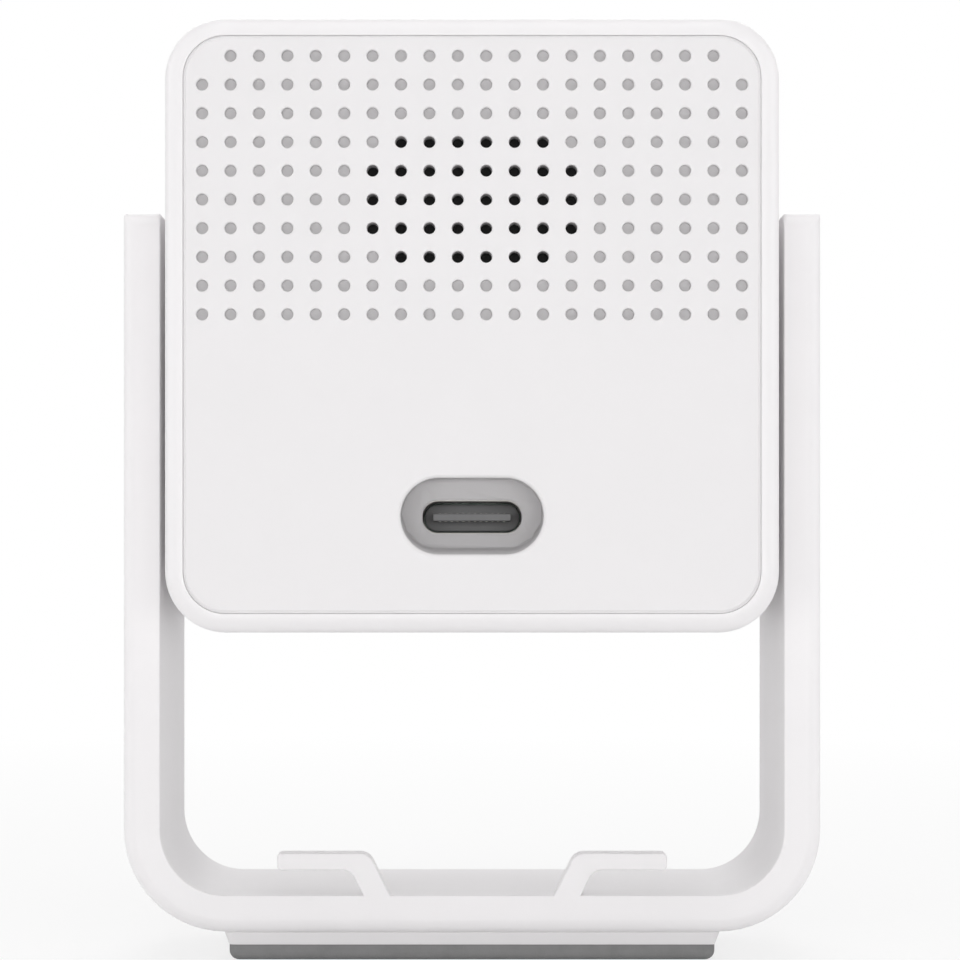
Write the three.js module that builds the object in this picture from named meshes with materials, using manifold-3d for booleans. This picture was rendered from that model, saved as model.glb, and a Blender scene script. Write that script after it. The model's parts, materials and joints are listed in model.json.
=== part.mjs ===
// Pet camera: a cube-shaped head that tilts between the arms of a U-shaped stand on a small foot.
// Millimetres, +Z up, with the origin at the bottom centre of the foot. The lens looks along -Y, and
// the rear cover with the cable socket faces +Y. Stand pieces are written from the origin, and head
// pieces from the head's centre, which lies on the tilt axis.

import * as THREE from 'three';
import { mergeVertices } from 'three/addons/utils/BufferGeometryUtils.js';
import Module from 'manifold-3d';

const wasm = await Module();
wasm.setup();

// Counts of straight sides that stand for round shapes
const cornerSegments = 3;
const fewSegments = 1; // for the corners of boards and other hidden plates
const edgeSegments = 2;
const rodSides = 12;
const screwSides = 8;
const nutSides = 6;
const lensSides = 20;
const dotSides = 6;
const ribbonSteps = 18;

// Clearances
const cutOverrun = 0.5; // how far a cutting shape runs past the face that it opens
const seatGap = 0.05; // between a piece and the face that it is fixed to
const slipGap = 0.1; // between a fixed piece and the hole or rim round it
const runningGap = 0.15; // between a turning or sliding piece and what it runs in

// Foot
const footLength = 43.9;
const footDepth = 21.6;
const footCorner = 1;
const plateHeight = 1.2;
const plateDraft = 0.5;
const padHeight = 1.4;
const padEdge = 0.6;
const footScrewShare = 0.64; // of the foot's length, from one foot screw to the other

// Head
const headSize = 51.3;
const headDepth = 53;
const headCorner = 5.1;
const headEdgeRound = 1.5;
const shellWall = 2;
const rimWall = 1.6;
const grooveWidth = 0.15;

// Yoke
const yokeDepth = 24;
const yokeWall = 3.3;
const yokeCorner = 9;
const yokeRimRound = 1.2;
const sideGap = 1.7; // between each arm and the head
const floorGap = 23.35; // between the yoke's floor and the head
const armRise = 10.95; // from the tilt axis up to the top of the arms
const armTopRound = 1.4;

// Cable hooks on the rear rim of the yoke's floor
const hookSpacing = 14.4;
const hookLegWidth = 2.35;
const hookLeanShare = 0.5;
const hookHeight = 3.7;
const hookBarHeight = 1.5;
const hookReach = 9.9;
const hookDepth = 2.6;
const hookKnee = 1.3;
const hookFillet = 1.1;
const hookEdgeRound = 0.3;

// Pivot
const journalRadius = 2;
const threadRadius = 1.5;
const studSeatDepth = 2.1;
const collarRadius = 3;
const collarThickness = 0.5;
const washerRadius = 5;
const nutRadius = 3.1;
const nutThickness = 1.6;
const stopThickness = 0.8;
const stopHubRadius = 3.2;
const stopFingerReach = 7;
const stopFingerWidth = 2;
const stopRibWidth = 1.6;
const stopRibLength = 3;
const tiltLimit = 90; // degrees each way
const tiltSpare = 2; // degrees left before the finger meets a rib

// Rear cover
const coverThickness = 1.8;
const coverEdgeRound = 0.35;
const dotColumns = 20;
const dotRows = 10;
const dotRadius = 0.5;
const dotInset = 1.45; // from the cover's sides to the middle of the outer dots
const dotTopInset = 1.55; // from the cover's upper edge to the middle of the first row
const dotFieldHeight = 21.5;
const dimpleDepth = 0.6;
const grilleSpans = [[3, 7, 12], [4, 6, 13], [5, 6, 13], [6, 6, 13], [7, 7, 12]]; // row, first and last column
const socketWidth = 11.9;
const socketHeight = 6.4;
const socketDepth = 4.4;
const socketSlope = 0.6;
const socketRise = 7.95; // from the cover's lower edge to the middle of the socket
const socketWall = 1;
const socketFloor = 0.9;

// Cable receptacle
const plugWidth = 8.34;
const plugHeight = 2.56;
const receptacleWall = 0.3;
const receptacleLength = 7.3;
const receptacleSetback = 0.25;
const portHeight = 2.8;
const tongueWidth = 6.69;
const tongueHeight = 0.7;
const tongueSetback = 0.8;
const tongueBaseLength = 2;

// Screws
const screwRadius = 1;
const screwHeadRadius = 1.8;
const screwHeadHeight = 1;
const screwBite = 6; // how deep a screw goes into the post that it holds
const crossWidth = 0.5;
const crossDepth = 0.5;
const footScrewBite = 2.2;
const footScrewHeadHeight = 0.9;

// Corner posts that the housing screws clamp
const postInset = 4.8; // from the head's side to the screw's axis
const postRadius = 2.4;
const bossLength = 10;

// Front window, tape and frame
const windowRecess = 0.3;
const windowThickness = 1.4;
const windowEdgeRound = 0.3;
const tapeThickness = 0.15;
const tapeWidth = 2.2;
const frameThickness = 2;
const frameHoleRadius = 8;
const frameWallRadius = 9.6;

// Lens trim and camera module
const ringRadius = 8.8;
const ringLipWidth = 0.7;
const ringMouthRadius = 5.2;
const ringProud = 0.2;
const barrelRadius = 6;
const barrelThreadRadius = 5.2;
const barrelBoreRadius = 3;
const barrelSetback = 2.1; // from the head's front to the barrel
const barrelBite = 6.15; // how far the barrel's thread goes into the lens holder
const barrelNeckGap = 0.55; // between the barrel's wide part and the lens holder
const glassRadius = 4.8;
const glassSeatDepth = 1.4;
const glassRise = 1.3;
const baffleWall = 1.4;
const baffleGap = 3; // between the baffle and the lens holder
const holderSize = 15;
const holderBaseLength = 3.8;
const holderNeckRadius = 6.6;
const holderNeckLength = 6;
const holderLedge = 0.7;
const holderWindowRadius = 3.1;
const holderCavity = 10;
const filterSize = 8;
const filterThickness = 0.4;
const sensorWidth = 7;
const sensorHeight = 6;
const sensorThickness = 1;
const sensorBoardHeight = 18;
const sensorBoardThickness = 1;
const sensorPostSpacing = 23;
const sensorPostRadius = 2;
const sensorPlaceShare = 0.33; // how far behind the frame the sensor board stands, of the head's depth
const sensorScrewBite = 4;

// Board behind the window and what it carries
const ledBoardThickness = 1;
const ledBoardStandoff = 1.2;
const ledBoardGap = 0.4;
const ledRadius = 1.4;
const ledHeight = 2.9;
const ledRing = 13.4; // from the lens axis to each infrared lamp
const lightSensorSize = 2;
const lightSensorHeight = 0.8;
const statusLedSize = 1.6;
const statusLedHeight = 0.8;
const pipeRadius = 0.8;
const microphoneWidth = 3.4;
const microphoneHeight = 2.4;
const microphoneThickness = 0.9;
const soundHoleRadius = 0.5;
const signalPlaceShare = 0.76; // how far down the board the lamp and its neighbours sit
const signalSpacing = 6;

// Main board and what it carries
const boardThickness = 1.2;
const boardCorner = 1;
const boardGap = 0.45;
const boardEdgeGap = 1.6;
const standoffRadius = 2;
const standoffInset = 2.5;
const processorSize = 12;
const processorThickness = 1.2;
const padSize = 11;
const padThickness = 0.8;
const spreaderWidth = 26;
const spreaderHeight = 20;
const spreaderThickness = 1;
const spreaderFlange = 4;
const shieldWidth = 12;
const shieldHeight = 7;
const shieldThickness = 1.6;
const shieldInset = 1.5;
const antennaLength = 22;
const antennaWidth = 7;
const antennaThickness = 0.2;
const ribbonWidth = 8;
const ribbonThickness = 0.3;
const ribbonRun = 3.2; // straight run that leaves each board
const ribbonStartInset = 2.4;
const ribbonSwitchGap = 2.9; // between the ribbon's lower end and the reset switch

// Loudspeaker
const speakerMargin = 2.6; // from the outer grille holes to the frame's edge
const speakerWall = 1.1;
const speakerDepth = 5.2;
const speakerBack = 0.9;
const speakerRimWall = 1;
const speakerRimHeight = 3;
const clothThickness = 0.25;
const clothMargin = 1.4;
const coneThickness = 0.3;
const coneDepth = 1.6;
const coneCapRadius = 2.4;
const coneCapHeight = 0.7;
const magnetRadius = 4;
const magnetLength = 4.2;

// Reset button and its switch
const buttonRadius = 1.6;
const buttonRecess = 0.25;
const buttonFlange = 0.7;
const buttonFlangeHeight = 0.6;
const buttonTravel = 0.5;
const switchWidth = 4.5;
const switchDepth = 3.4;
const switchHeight = 3.5;
const plungerRadius = 0.7;
const plungerLength = 1.4;

// Places that follow from the sizes above, on the stand
const yokeBase = padHeight + plateHeight;
const yokeFloor = yokeBase + yokeWall;
const tiltAxisHeight = yokeFloor + floorGap + headSize / 2;
const armTop = tiltAxisHeight + armRise;
const armInner = headSize / 2 + sideGap;
const yokeHalf = armInner + yokeWall;
const rearRim = yokeDepth / 2;
const footScrewPlace = (footScrewShare * footLength) / 2;

// Places that follow from the sizes above, on the head
const headHalf = headSize / 2;
const rearFace = headDepth / 2;
const frontFace = -rearFace;
const innerHalf = headHalf - shellWall;
const rebateHalf = headHalf - rimWall;
const panelHalf = rebateHalf - grooveWidth;
const panelCorner = headCorner - rimWall - grooveWidth;
const coverBack = rearFace - coverThickness;
const socketMiddle = socketRise - panelHalf;
const socketBottom = rearFace - socketDepth;
const pocketBack = socketBottom - socketFloor;
const boardRear = pocketBack - receptacleSetback - receptacleLength - seatGap;
const boardFront = boardRear - boardThickness;
const postPlace = headHalf - postInset;
const boardHalfWidth = postPlace - postRadius - boardGap;
const boardHalfHeight = innerHalf - boardEdgeGap;
const standoffAcross = boardHalfWidth - standoffInset;
const standoffUp = boardHalfHeight - standoffInset;
const windowFront = frontFace + windowRecess;
const windowBack = windowFront + windowThickness;
const frameFront = windowBack + tapeThickness + 2 * seatGap;
const frameBack = frameFront + frameThickness;
const bossFront = frameBack + seatGap;
const bossBack = bossFront + bossLength;
const postFront = bossBack + seatGap;
const ledBoardFront = frameBack + ledBoardStandoff;
const ledBoardBack = ledBoardFront + ledBoardThickness;
const ledBoardHalf = postPlace - postRadius - ledBoardGap;
const signalDrop = -signalPlaceShare * ledBoardHalf;
const sensorPostBack = frameBack + sensorPlaceShare * headDepth;
const sensorBoardFront = sensorPostBack + seatGap;
const sensorBoardBack = sensorBoardFront + sensorBoardThickness;
const barrelFront = frontFace + barrelSetback;
const holderBack = sensorBoardFront - seatGap;
const holderBaseFront = holderBack - holderBaseLength;
const holderFront = holderBaseFront - holderNeckLength;
const barrelBack = holderFront + barrelBite;
const dotPitch = (2 * (panelHalf - dotInset)) / (dotColumns - 1);
const dotRowPitch = dotFieldHeight / (dotRows - 1);
const topRow = panelHalf - dotTopInset;
const speakerRows = grilleSpans.map(([row]) => row);
const speakerColumns = grilleSpans.map(([, first, last]) => last - first);
const grilleWidth = Math.max(...speakerColumns) * dotPitch;
const grilleHeight = (Math.max(...speakerRows) - Math.min(...speakerRows)) * dotRowPitch;
const grilleMiddle = topRow - ((Math.max(...speakerRows) + Math.min(...speakerRows)) / 2) * dotRowPitch;
const speakerWidth = grilleWidth + 2 * speakerMargin;
const speakerHeight = grilleHeight + 2 * speakerMargin;
const clothFront = coverBack - seatGap;
const speakerFront = clothFront - clothThickness - seatGap;
const speakerRear = speakerFront - speakerDepth;
const switchMiddle = boardFront - seatGap - switchDepth / 2;
const switchBottom = -boardHalfHeight + seatGap;
const buttonTop = buttonFlangeHeight + seatGap - innerHalf;
const buttonBottom = buttonRecess - headHalf;

// Materials
function finish(color, roughness, metalness = 0) {
  return new THREE.MeshStandardMaterial({ color, roughness, metalness });
}

const whitePlastic = () => finish(0xeeedec, 0.45);
const greyPlastic = () => finish(0xd6d4d5, 0.5);
const darkRubber = () => finish(0x7c7c7c, 0.85);
const blackGloss = () => finish(0x0b0b0c, 0.08);
const blackPlastic = () => finish(0x1b1b1c, 0.55);
const darkGreyPlastic = () => finish(0x8c8c8d, 0.5);
const blackFoam = () => finish(0x151515, 0.95);
const steel = () => finish(0xb9babc, 0.3, 1);
const nickel = () => finish(0x9b9a96, 0.32, 1);
const aluminium = () => finish(0xc4c6c8, 0.4, 1);
const glass = () => finish(0x1c2430, 0.03);
const filterGlass = () => finish(0x7fb5b0, 0.05);
const clearPlastic = () => finish(0xe8eef2, 0.1);
const greenBoard = () => finish(0x16553a, 0.5);
const chipBlack = () => finish(0x222325, 0.45);
const amberFilm = () => finish(0xb8762a, 0.35);
const greyPad = () => finish(0x8d9399, 0.9);
const paperCone = () => finish(0x2a2a2b, 0.8);
const acetal = () => finish(0xe2e0da, 0.4);

// A closed solid that can be joined and cut, from a closed geometry
function solidOf(geometry) {
  geometry.deleteAttribute('normal');
  geometry.deleteAttribute('uv');
  const merged = mergeVertices(geometry);
  const corners = merged.index.array;
  const kept = [];
  for (let i = 0; i < corners.length; i += 3) {
    const [a, b, c] = corners.slice(i, i + 3);
    if (a !== b && b !== c && c !== a) {
      kept.push(a, b, c);
    }
  }
  const vertProperties = new Float32Array(merged.attributes.position.array);
  const triVerts = new Uint32Array(kept);
  return new wasm.Manifold(new wasm.Mesh({ numProp: 3, vertProperties, triVerts }));
}

// A named mesh from a solid, placed and turned in its group
function piece(name, solid, material, position = [0, 0, 0], rotation = [0, 0, 0]) {
  const { vertProperties, triVerts } = solid.getMesh();
  const geometry = new THREE.BufferGeometry();
  geometry.setAttribute('position', new THREE.BufferAttribute(vertProperties, 3));
  geometry.setIndex(new THREE.BufferAttribute(triVerts, 1));
  geometry.computeVertexNormals();
  const mesh = new THREE.Mesh(geometry, material());
  mesh.name = name;
  mesh.position.set(...position);
  mesh.rotation.set(...rotation);
  return mesh;
}

// Outlines

function roundedRectangle(width, height, radius) {
  const x = width / 2 - radius;
  const y = height / 2 - radius;
  const shape = new THREE.Shape();
  shape.absarc(x, -y, radius, -Math.PI / 2, 0);
  shape.absarc(x, y, radius, 0, Math.PI / 2);
  shape.absarc(-x, y, radius, Math.PI / 2, Math.PI);
  shape.absarc(-x, -y, radius, Math.PI, 1.5 * Math.PI);
  return shape;
}

function stadium(width, height) {
  return roundedRectangle(width, height, height / 2);
}

function regularPath(radius, sides, x, y) {
  const path = new THREE.Path();
  const corners = [];
  for (let i = 0; i < sides; i += 1) {
    const angle = (2 * Math.PI * i) / sides;
    corners.push(new THREE.Vector2(x + radius * Math.cos(angle), y + radius * Math.sin(angle)));
  }
  return path.setFromPoints(corners);
}

// Basic solids

// An outline in X and Z, extruded from one place along Y to another, with its edges rounded
function extrudedY(shape, from, to, { round = 0, x = 0, z = 0, segments = cornerSegments } = {}) {
  const geometry = new THREE.ExtrudeGeometry(shape, {
    depth: to - from - 2 * round,
    bevelEnabled: round > 0,
    bevelThickness: round,
    bevelSize: round,
    bevelOffset: -round,
    bevelSegments: edgeSegments,
    curveSegments: segments,
  });
  geometry.rotateX(Math.PI / 2);
  geometry.translate(x, to - round, z);
  return solidOf(geometry);
}

// An outline in Y and Z, extruded from one place along X to another
function extrudedX(shape, from, to) {
  const geometry = new THREE.ExtrudeGeometry(shape, {
    depth: to - from,
    bevelEnabled: false,
    curveSegments: cornerSegments,
  });
  const alongY = new THREE.Vector3(0, 1, 0);
  const alongZ = new THREE.Vector3(0, 0, 1);
  const alongX = new THREE.Vector3(1, 0, 0);
  geometry.applyMatrix4(new THREE.Matrix4().makeBasis(alongY, alongZ, alongX));
  geometry.translate(from, 0, 0);
  return solidOf(geometry);
}

// An outline in X and Y, extruded upwards, with its lower end drawn in on every side
function extrudedZ(shape, from, to, drawnIn = 0) {
  const geometry = new THREE.ExtrudeGeometry(shape, {
    depth: to - from,
    bevelEnabled: false,
    curveSegments: cornerSegments,
  });
  const place = geometry.attributes.position;
  for (let i = 0; i < place.count; i += 1) {
    if (place.getZ(i) === 0) {
      place.setX(i, place.getX(i) - drawnIn * Math.sign(place.getX(i)));
      place.setY(i, place.getY(i) - drawnIn * Math.sign(place.getY(i)));
    }
  }
  geometry.translate(0, 0, from);
  return solidOf(geometry);
}

function block(xs, ys, zs) {
  const geometry = new THREE.BoxGeometry(xs[1] - xs[0], ys[1] - ys[0], zs[1] - zs[0]);
  geometry.translate((xs[0] + xs[1]) / 2, (ys[0] + ys[1]) / 2, (zs[0] + zs[1]) / 2);
  return solidOf(geometry);
}

function rodY(radius, from, to, { x = 0, z = 0, sides = rodSides } = {}) {
  const geometry = new THREE.CylinderGeometry(radius, radius, to - from, sides);
  geometry.translate(x, (from + to) / 2, z);
  return solidOf(geometry);
}

function rodX(radius, from, to, { y = 0, z = 0, sides = rodSides } = {}) {
  const geometry = new THREE.CylinderGeometry(radius, radius, to - from, sides);
  geometry.rotateZ(-Math.PI / 2);
  geometry.translate((from + to) / 2, y, z);
  return solidOf(geometry);
}

function rodZ(radius, from, to, { x = 0, y = 0, sides = rodSides } = {}) {
  const geometry = new THREE.CylinderGeometry(radius, radius, to - from, sides);
  geometry.rotateX(Math.PI / 2);
  geometry.translate(x, y, (from + to) / 2);
  return solidOf(geometry);
}

// A profile of [radius, place along Y] points, anticlockwise, turned about the Y axis
function turned(profile, sides = rodSides) {
  const points = profile.map(([radius, along]) => new THREE.Vector2(radius, along));
  return solidOf(new THREE.LatheGeometry(points, sides));
}

function ring(outer, inner, from, to, sides = rodSides) {
  return turned([[inner, from], [outer, from], [outer, to], [inner, to], [inner, from]], sides);
}

// The corner radius of a many-sided bore whose flats just clear a rod of this radius
function boreRadius(radius, sides = rodSides) {
  return radius / Math.cos(Math.PI / sides);
}

// Screws, with the head below zero along Y and the shank above it

function crossRecess(headTop) {
  const reach = screwHeadRadius / 2;
  const half = crossWidth / 2;
  const depth = [headTop - cutOverrun, headTop + crossDepth];
  return block([-reach, reach], depth, [-half, half]).add(block([-half, half], depth, [-reach, reach]));
}

function panScrew(length) {
  const profile = [
    [0, -screwHeadHeight],
    [screwHeadRadius - screwHeadHeight / 3, -screwHeadHeight],
    [screwHeadRadius, -screwHeadHeight / 2],
    [screwHeadRadius, 0],
    [screwRadius, 0],
    [screwRadius, length],
    [0, length],
  ];
  return turned(profile, screwSides).subtract(crossRecess(-screwHeadHeight));
}

function countersunkScrew(length) {
  const profile = [
    [0, -footScrewHeadHeight],
    [screwHeadRadius, -footScrewHeadHeight],
    [screwRadius, 0],
    [screwRadius, length],
    [0, length],
  ];
  return turned(profile, screwSides).subtract(crossRecess(-footScrewHeadHeight));
}

// Stand

function footPad() {
  const length = footLength - 2 * plateDraft;
  const depth = footDepth - 2 * plateDraft;
  const outline = roundedRectangle(length, depth, footCorner);
  return extrudedZ(outline, 0, padEdge, padEdge).add(extrudedZ(outline, padEdge, padHeight));
}

function footPlate() {
  const outline = roundedRectangle(footLength, footDepth, footCorner);
  let solid = extrudedZ(outline, padHeight, yokeBase, plateDraft);
  for (const side of [-1, 1]) {
    const x = side * footScrewPlace;
    const sink = [
      [0, -footScrewHeadHeight - cutOverrun],
      [screwHeadRadius + slipGap, -footScrewHeadHeight - cutOverrun],
      [screwHeadRadius + slipGap, -footScrewHeadHeight],
      [screwRadius + slipGap, 0],
      [screwRadius + slipGap, plateHeight],
      [0, plateHeight],
    ].map(([radius, along]) => new THREE.Vector2(radius, along));
    const geometry = new THREE.LatheGeometry(sink, screwSides);
    geometry.rotateX(Math.PI / 2);
    geometry.translate(x, 0, padHeight + footScrewHeadHeight);
    solid = solid.subtract(solidOf(geometry));
  }
  return solid;
}

function yokeOutline() {
  const innerCorner = yokeCorner - yokeWall;
  const shape = new THREE.Shape();
  shape.moveTo(-yokeHalf, armTop);
  shape.lineTo(-yokeHalf, yokeBase + yokeCorner);
  shape.absarc(yokeCorner - yokeHalf, yokeBase + yokeCorner, yokeCorner, Math.PI, 1.5 * Math.PI);
  shape.absarc(yokeHalf - yokeCorner, yokeBase + yokeCorner, yokeCorner, -Math.PI / 2, 0);
  shape.lineTo(yokeHalf, armTop);
  shape.lineTo(armInner, armTop);
  shape.absarc(armInner - innerCorner, yokeFloor + innerCorner, innerCorner, 0, -Math.PI / 2, true);
  shape.absarc(innerCorner - armInner, yokeFloor + innerCorner, innerCorner, 1.5 * Math.PI, Math.PI, true);
  shape.lineTo(-armInner, armTop);
  return shape;
}

// The arms seen from the side, with both upper corners rounded
function armSide() {
  const reach = rearRim + cutOverrun;
  const shape = new THREE.Shape();
  shape.moveTo(-reach, yokeBase - cutOverrun);
  shape.lineTo(reach, yokeBase - cutOverrun);
  shape.lineTo(reach, armTop - armTopRound);
  shape.lineTo(rearRim, armTop - armTopRound);
  shape.absarc(rearRim - armTopRound, armTop - armTopRound, armTopRound, 0, Math.PI / 2);
  shape.absarc(armTopRound - rearRim, armTop - armTopRound, armTopRound, Math.PI / 2, Math.PI);
  shape.lineTo(-reach, armTop - armTopRound);
  return shape;
}

function hookOutline(side) {
  const sink = yokeRimRound;
  const leg = (height) => side * (hookSpacing / 2 + hookLeanShare * height);
  const legOuter = (height) => leg(height) + side * hookLegWidth;
  const barBottom = hookHeight - hookBarHeight;
  const end = side * (hookSpacing / 2 + hookReach);
  const shape = new THREE.Shape();
  shape.moveTo(leg(-sink), yokeFloor - sink);
  shape.lineTo(legOuter(-sink), yokeFloor - sink);
  shape.lineTo(legOuter(barBottom - hookFillet), yokeFloor + barBottom - hookFillet);
  shape.quadraticCurveTo(
    legOuter(barBottom), yokeFloor + barBottom,
    legOuter(barBottom) + side * hookFillet, yokeFloor + barBottom,
  );
  shape.lineTo(end, yokeFloor + barBottom);
  shape.lineTo(end, yokeFloor + hookHeight);
  shape.lineTo(leg(hookHeight) + side * hookKnee, yokeFloor + hookHeight);
  shape.quadraticCurveTo(
    leg(hookHeight), yokeFloor + hookHeight,
    leg(hookHeight - hookKnee), yokeFloor + hookHeight - hookKnee,
  );
  return shape;
}

function yoke() {
  let solid = extrudedY(yokeOutline(), -rearRim, rearRim, { round: yokeRimRound });
  solid = solid.intersect(extrudedX(armSide(), -yokeHalf - cutOverrun, yokeHalf + cutOverrun));
  for (const side of [-1, 1]) {
    const hook = extrudedY(hookOutline(side), rearRim - hookDepth, rearRim, { round: hookEdgeRound });
    const ends = [side * (armInner - cutOverrun), side * (armInner + studSeatDepth + slipGap)];
    const studBore = rodX(boreRadius(journalRadius + slipGap), Math.min(...ends), Math.max(...ends), {
      z: tiltAxisHeight,
    });
    const screwTop = yokeBase + footScrewBite + slipGap;
    const screwBore = rodZ(boreRadius(screwRadius + slipGap, screwSides), yokeBase - cutOverrun, screwTop, {
      x: side * footScrewPlace,
      sides: screwSides,
    });
    solid = solid.add(hook).subtract(studBore).subtract(screwBore);
  }
  return solid;
}

// Pivot pieces are written along Y, away from the head's centre, and turned to each side
const collarInner = armInner - seatGap - collarThickness;
const journalInner = innerHalf - runningGap;

function pivotStud(tip) {
  return turned([
    [0, tip],
    [threadRadius, tip],
    [threadRadius, journalInner],
    [journalRadius, journalInner],
    [journalRadius, collarInner],
    [collarRadius, collarInner],
    [collarRadius, armInner - seatGap],
    [journalRadius, armInner - seatGap],
    [journalRadius, armInner + studSeatDepth],
    [0, armInner + studSeatDepth],
  ]);
}

function frictionWasher() {
  return ring(washerRadius, boreRadius(journalRadius + slipGap), headHalf + runningGap, collarInner - seatGap);
}

function tiltStop() {
  const from = journalInner - seatGap - stopThickness;
  const to = journalInner - seatGap;
  const half = stopFingerWidth / 2;
  const finger = block([-half, half], [from, to], [0, stopFingerReach]);
  const bore = rodY(boreRadius(threadRadius + slipGap), from - cutOverrun, to + cutOverrun);
  return rodY(stopHubRadius, from, to).add(finger).subtract(bore);
}

function pivotNut(outer) {
  const bore = rodY(boreRadius(threadRadius + slipGap), outer - nutThickness - cutOverrun, outer + cutOverrun);
  return rodY(nutRadius, outer - nutThickness, outer, { sides: nutSides }).subtract(bore);
}

function standPieces() {
  const group = new THREE.Group();
  group.add(piece('foot_pad', footPad(), darkRubber));
  group.add(piece('foot_plate', footPlate(), greyPlastic));
  group.add(piece('yoke', yoke(), whitePlastic));
  const screwLength = plateHeight - footScrewHeadHeight + footScrewBite;
  for (const [side, label] of [[-1, 'left'], [1, 'right']]) {
    const place = [side * footScrewPlace, 0, padHeight + footScrewHeadHeight + seatGap];
    const screw = countersunkScrew(screwLength - seatGap);
    group.add(piece(`foot_screw_${label}`, screw, steel, place, [Math.PI / 2, 0, 0]));
  }
  const pivot = new THREE.Group();
  pivot.position.z = tiltAxisHeight;
  for (const [side, label] of [[-1, 'left'], [1, 'right']]) {
    const turn = [0, 0, (-side * Math.PI) / 2];
    const stopSpace = side < 0 ? stopThickness + seatGap : 0;
    const nutOuter = journalInner - seatGap - stopSpace;
    const tip = nutOuter - nutThickness - slipGap;
    pivot.add(piece(`pivot_stud_${label}`, pivotStud(tip), steel, [0, 0, 0], turn));
    pivot.add(piece(`friction_washer_${label}`, frictionWasher(), acetal, [0, 0, 0], turn));
    pivot.add(piece(`pivot_nut_${label}`, pivotNut(nutOuter), nickel, [0, 0, 0], turn));
  }
  pivot.add(piece('tilt_stop', tiltStop(), steel, [0, 0, 0], [0, 0, Math.PI / 2]));
  group.add(pivot);
  return group;
}

// Head

const postPlaces = [[-1, -1], [1, -1], [1, 1], [-1, 1]].map(([x, z]) => [x * postPlace, z * postPlace]);
const standoffPlaces = [[-1, -1], [1, -1], [1, 1], [-1, 1]].map(([x, z]) => [x * standoffAcross, z * standoffUp]);

// One of the two ribs on the housing's left wall that meet the finger of the tilt stop
function stopRib(side) {
  const wall = -innerHalf;
  const middle = (stopHubRadius + stopFingerReach) / 2;
  const from = Math.max(middle - stopRibLength / 2, stopHubRadius + runningGap);
  const width = Math.asin(stopFingerWidth / 2 / from) + Math.asin(stopRibWidth / 2 / from);
  const angle = side * (THREE.MathUtils.degToRad(tiltLimit + tiltSpare) + width);
  const geometry = new THREE.BoxGeometry(shellWall / 2 + stopThickness + runningGap, stopRibWidth, stopRibLength);
  geometry.translate(wall + (stopThickness + runningGap - shellWall / 2) / 2, 0, from + stopRibLength / 2);
  geometry.rotateX(angle);
  return solidOf(geometry);
}

function housing() {
  const outer = roundedRectangle(headSize, headSize, headCorner);
  const bore = roundedRectangle(2 * innerHalf, 2 * innerHalf, headCorner - shellWall);
  const rebate = roundedRectangle(2 * rebateHalf, 2 * rebateHalf, headCorner - rimWall);
  const past = rearFace + cutOverrun;
  let solid = extrudedY(outer, frontFace, rearFace, { round: headEdgeRound });
  solid = solid.subtract(extrudedY(bore, -past, past));
  solid = solid.subtract(extrudedY(rebate, coverBack, past));
  solid = solid.subtract(extrudedY(rebate, -past, frameBack));
  for (const [x, z] of postPlaces) {
    const wallX = Math.sign(x) * (headHalf - shellWall / 2);
    const wallZ = Math.sign(z) * (headHalf - shellWall / 2);
    const nearX = x - Math.sign(x) * postRadius;
    const nearZ = z - Math.sign(z) * postRadius;
    const xs = [Math.min(nearX, wallX), Math.max(nearX, wallX)];
    const zs = [Math.min(nearZ, wallZ), Math.max(nearZ, wallZ)];
    const outerColumn = extrudedY(outer, bossFront, bossBack);
    solid = solid.add(block(xs, [bossFront, bossBack], zs).intersect(outerColumn));
    const hole = boreRadius(screwRadius + slipGap, screwSides);
    solid = solid.subtract(rodY(hole, bossFront - cutOverrun, bossBack + cutOverrun, { x, z, sides: screwSides }));
  }
  const pivotReach = headHalf + cutOverrun;
  const pivotBore = boreRadius(journalRadius + runningGap);
  for (const ends of [[-pivotReach, cutOverrun - innerHalf], [innerHalf - cutOverrun, pivotReach]]) {
    solid = solid.subtract(rodX(pivotBore, ...ends));
  }
  const buttonHole = rodZ(boreRadius(buttonRadius + runningGap), -headHalf - cutOverrun, cutOverrun - innerHalf, {
    y: switchMiddle,
  });
  return solid.subtract(buttonHole).add(stopRib(-1)).add(stopRib(1));
}

// Every dot's column and row, with its place and whether sound passes through it
function dots() {
  const list = [];
  for (let row = 0; row < dotRows; row += 1) {
    for (let column = 0; column < dotColumns; column += 1) {
      const missing = row === 0 && (column === 0 || column === dotColumns - 1);
      const x = (column - (dotColumns - 1) / 2) * dotPitch;
      const open = grilleSpans.some(([at, first, last]) => row === at && column >= first && column <= last);
      if (!missing) {
        list.push({ x, z: topRow - row * dotRowPitch, open });
      }
    }
  }
  return list;
}

// The recess round the cable socket: its lower wall slopes up towards the floor
function socketRecess() {
  const geometry = new THREE.ExtrudeGeometry(stadium(socketWidth, socketHeight), {
    depth: socketDepth,
    bevelEnabled: false,
    curveSegments: cornerSegments,
  });
  const place = geometry.attributes.position;
  const top = socketHeight / 2;
  for (let i = 0; i < place.count; i += 1) {
    if (place.getZ(i) > 0) {
      place.setY(i, top - (top - place.getY(i)) * (1 - socketSlope / socketHeight));
    }
  }
  geometry.rotateX(Math.PI / 2);
  geometry.translate(0, rearFace, socketMiddle);
  return solidOf(geometry);
}

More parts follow.
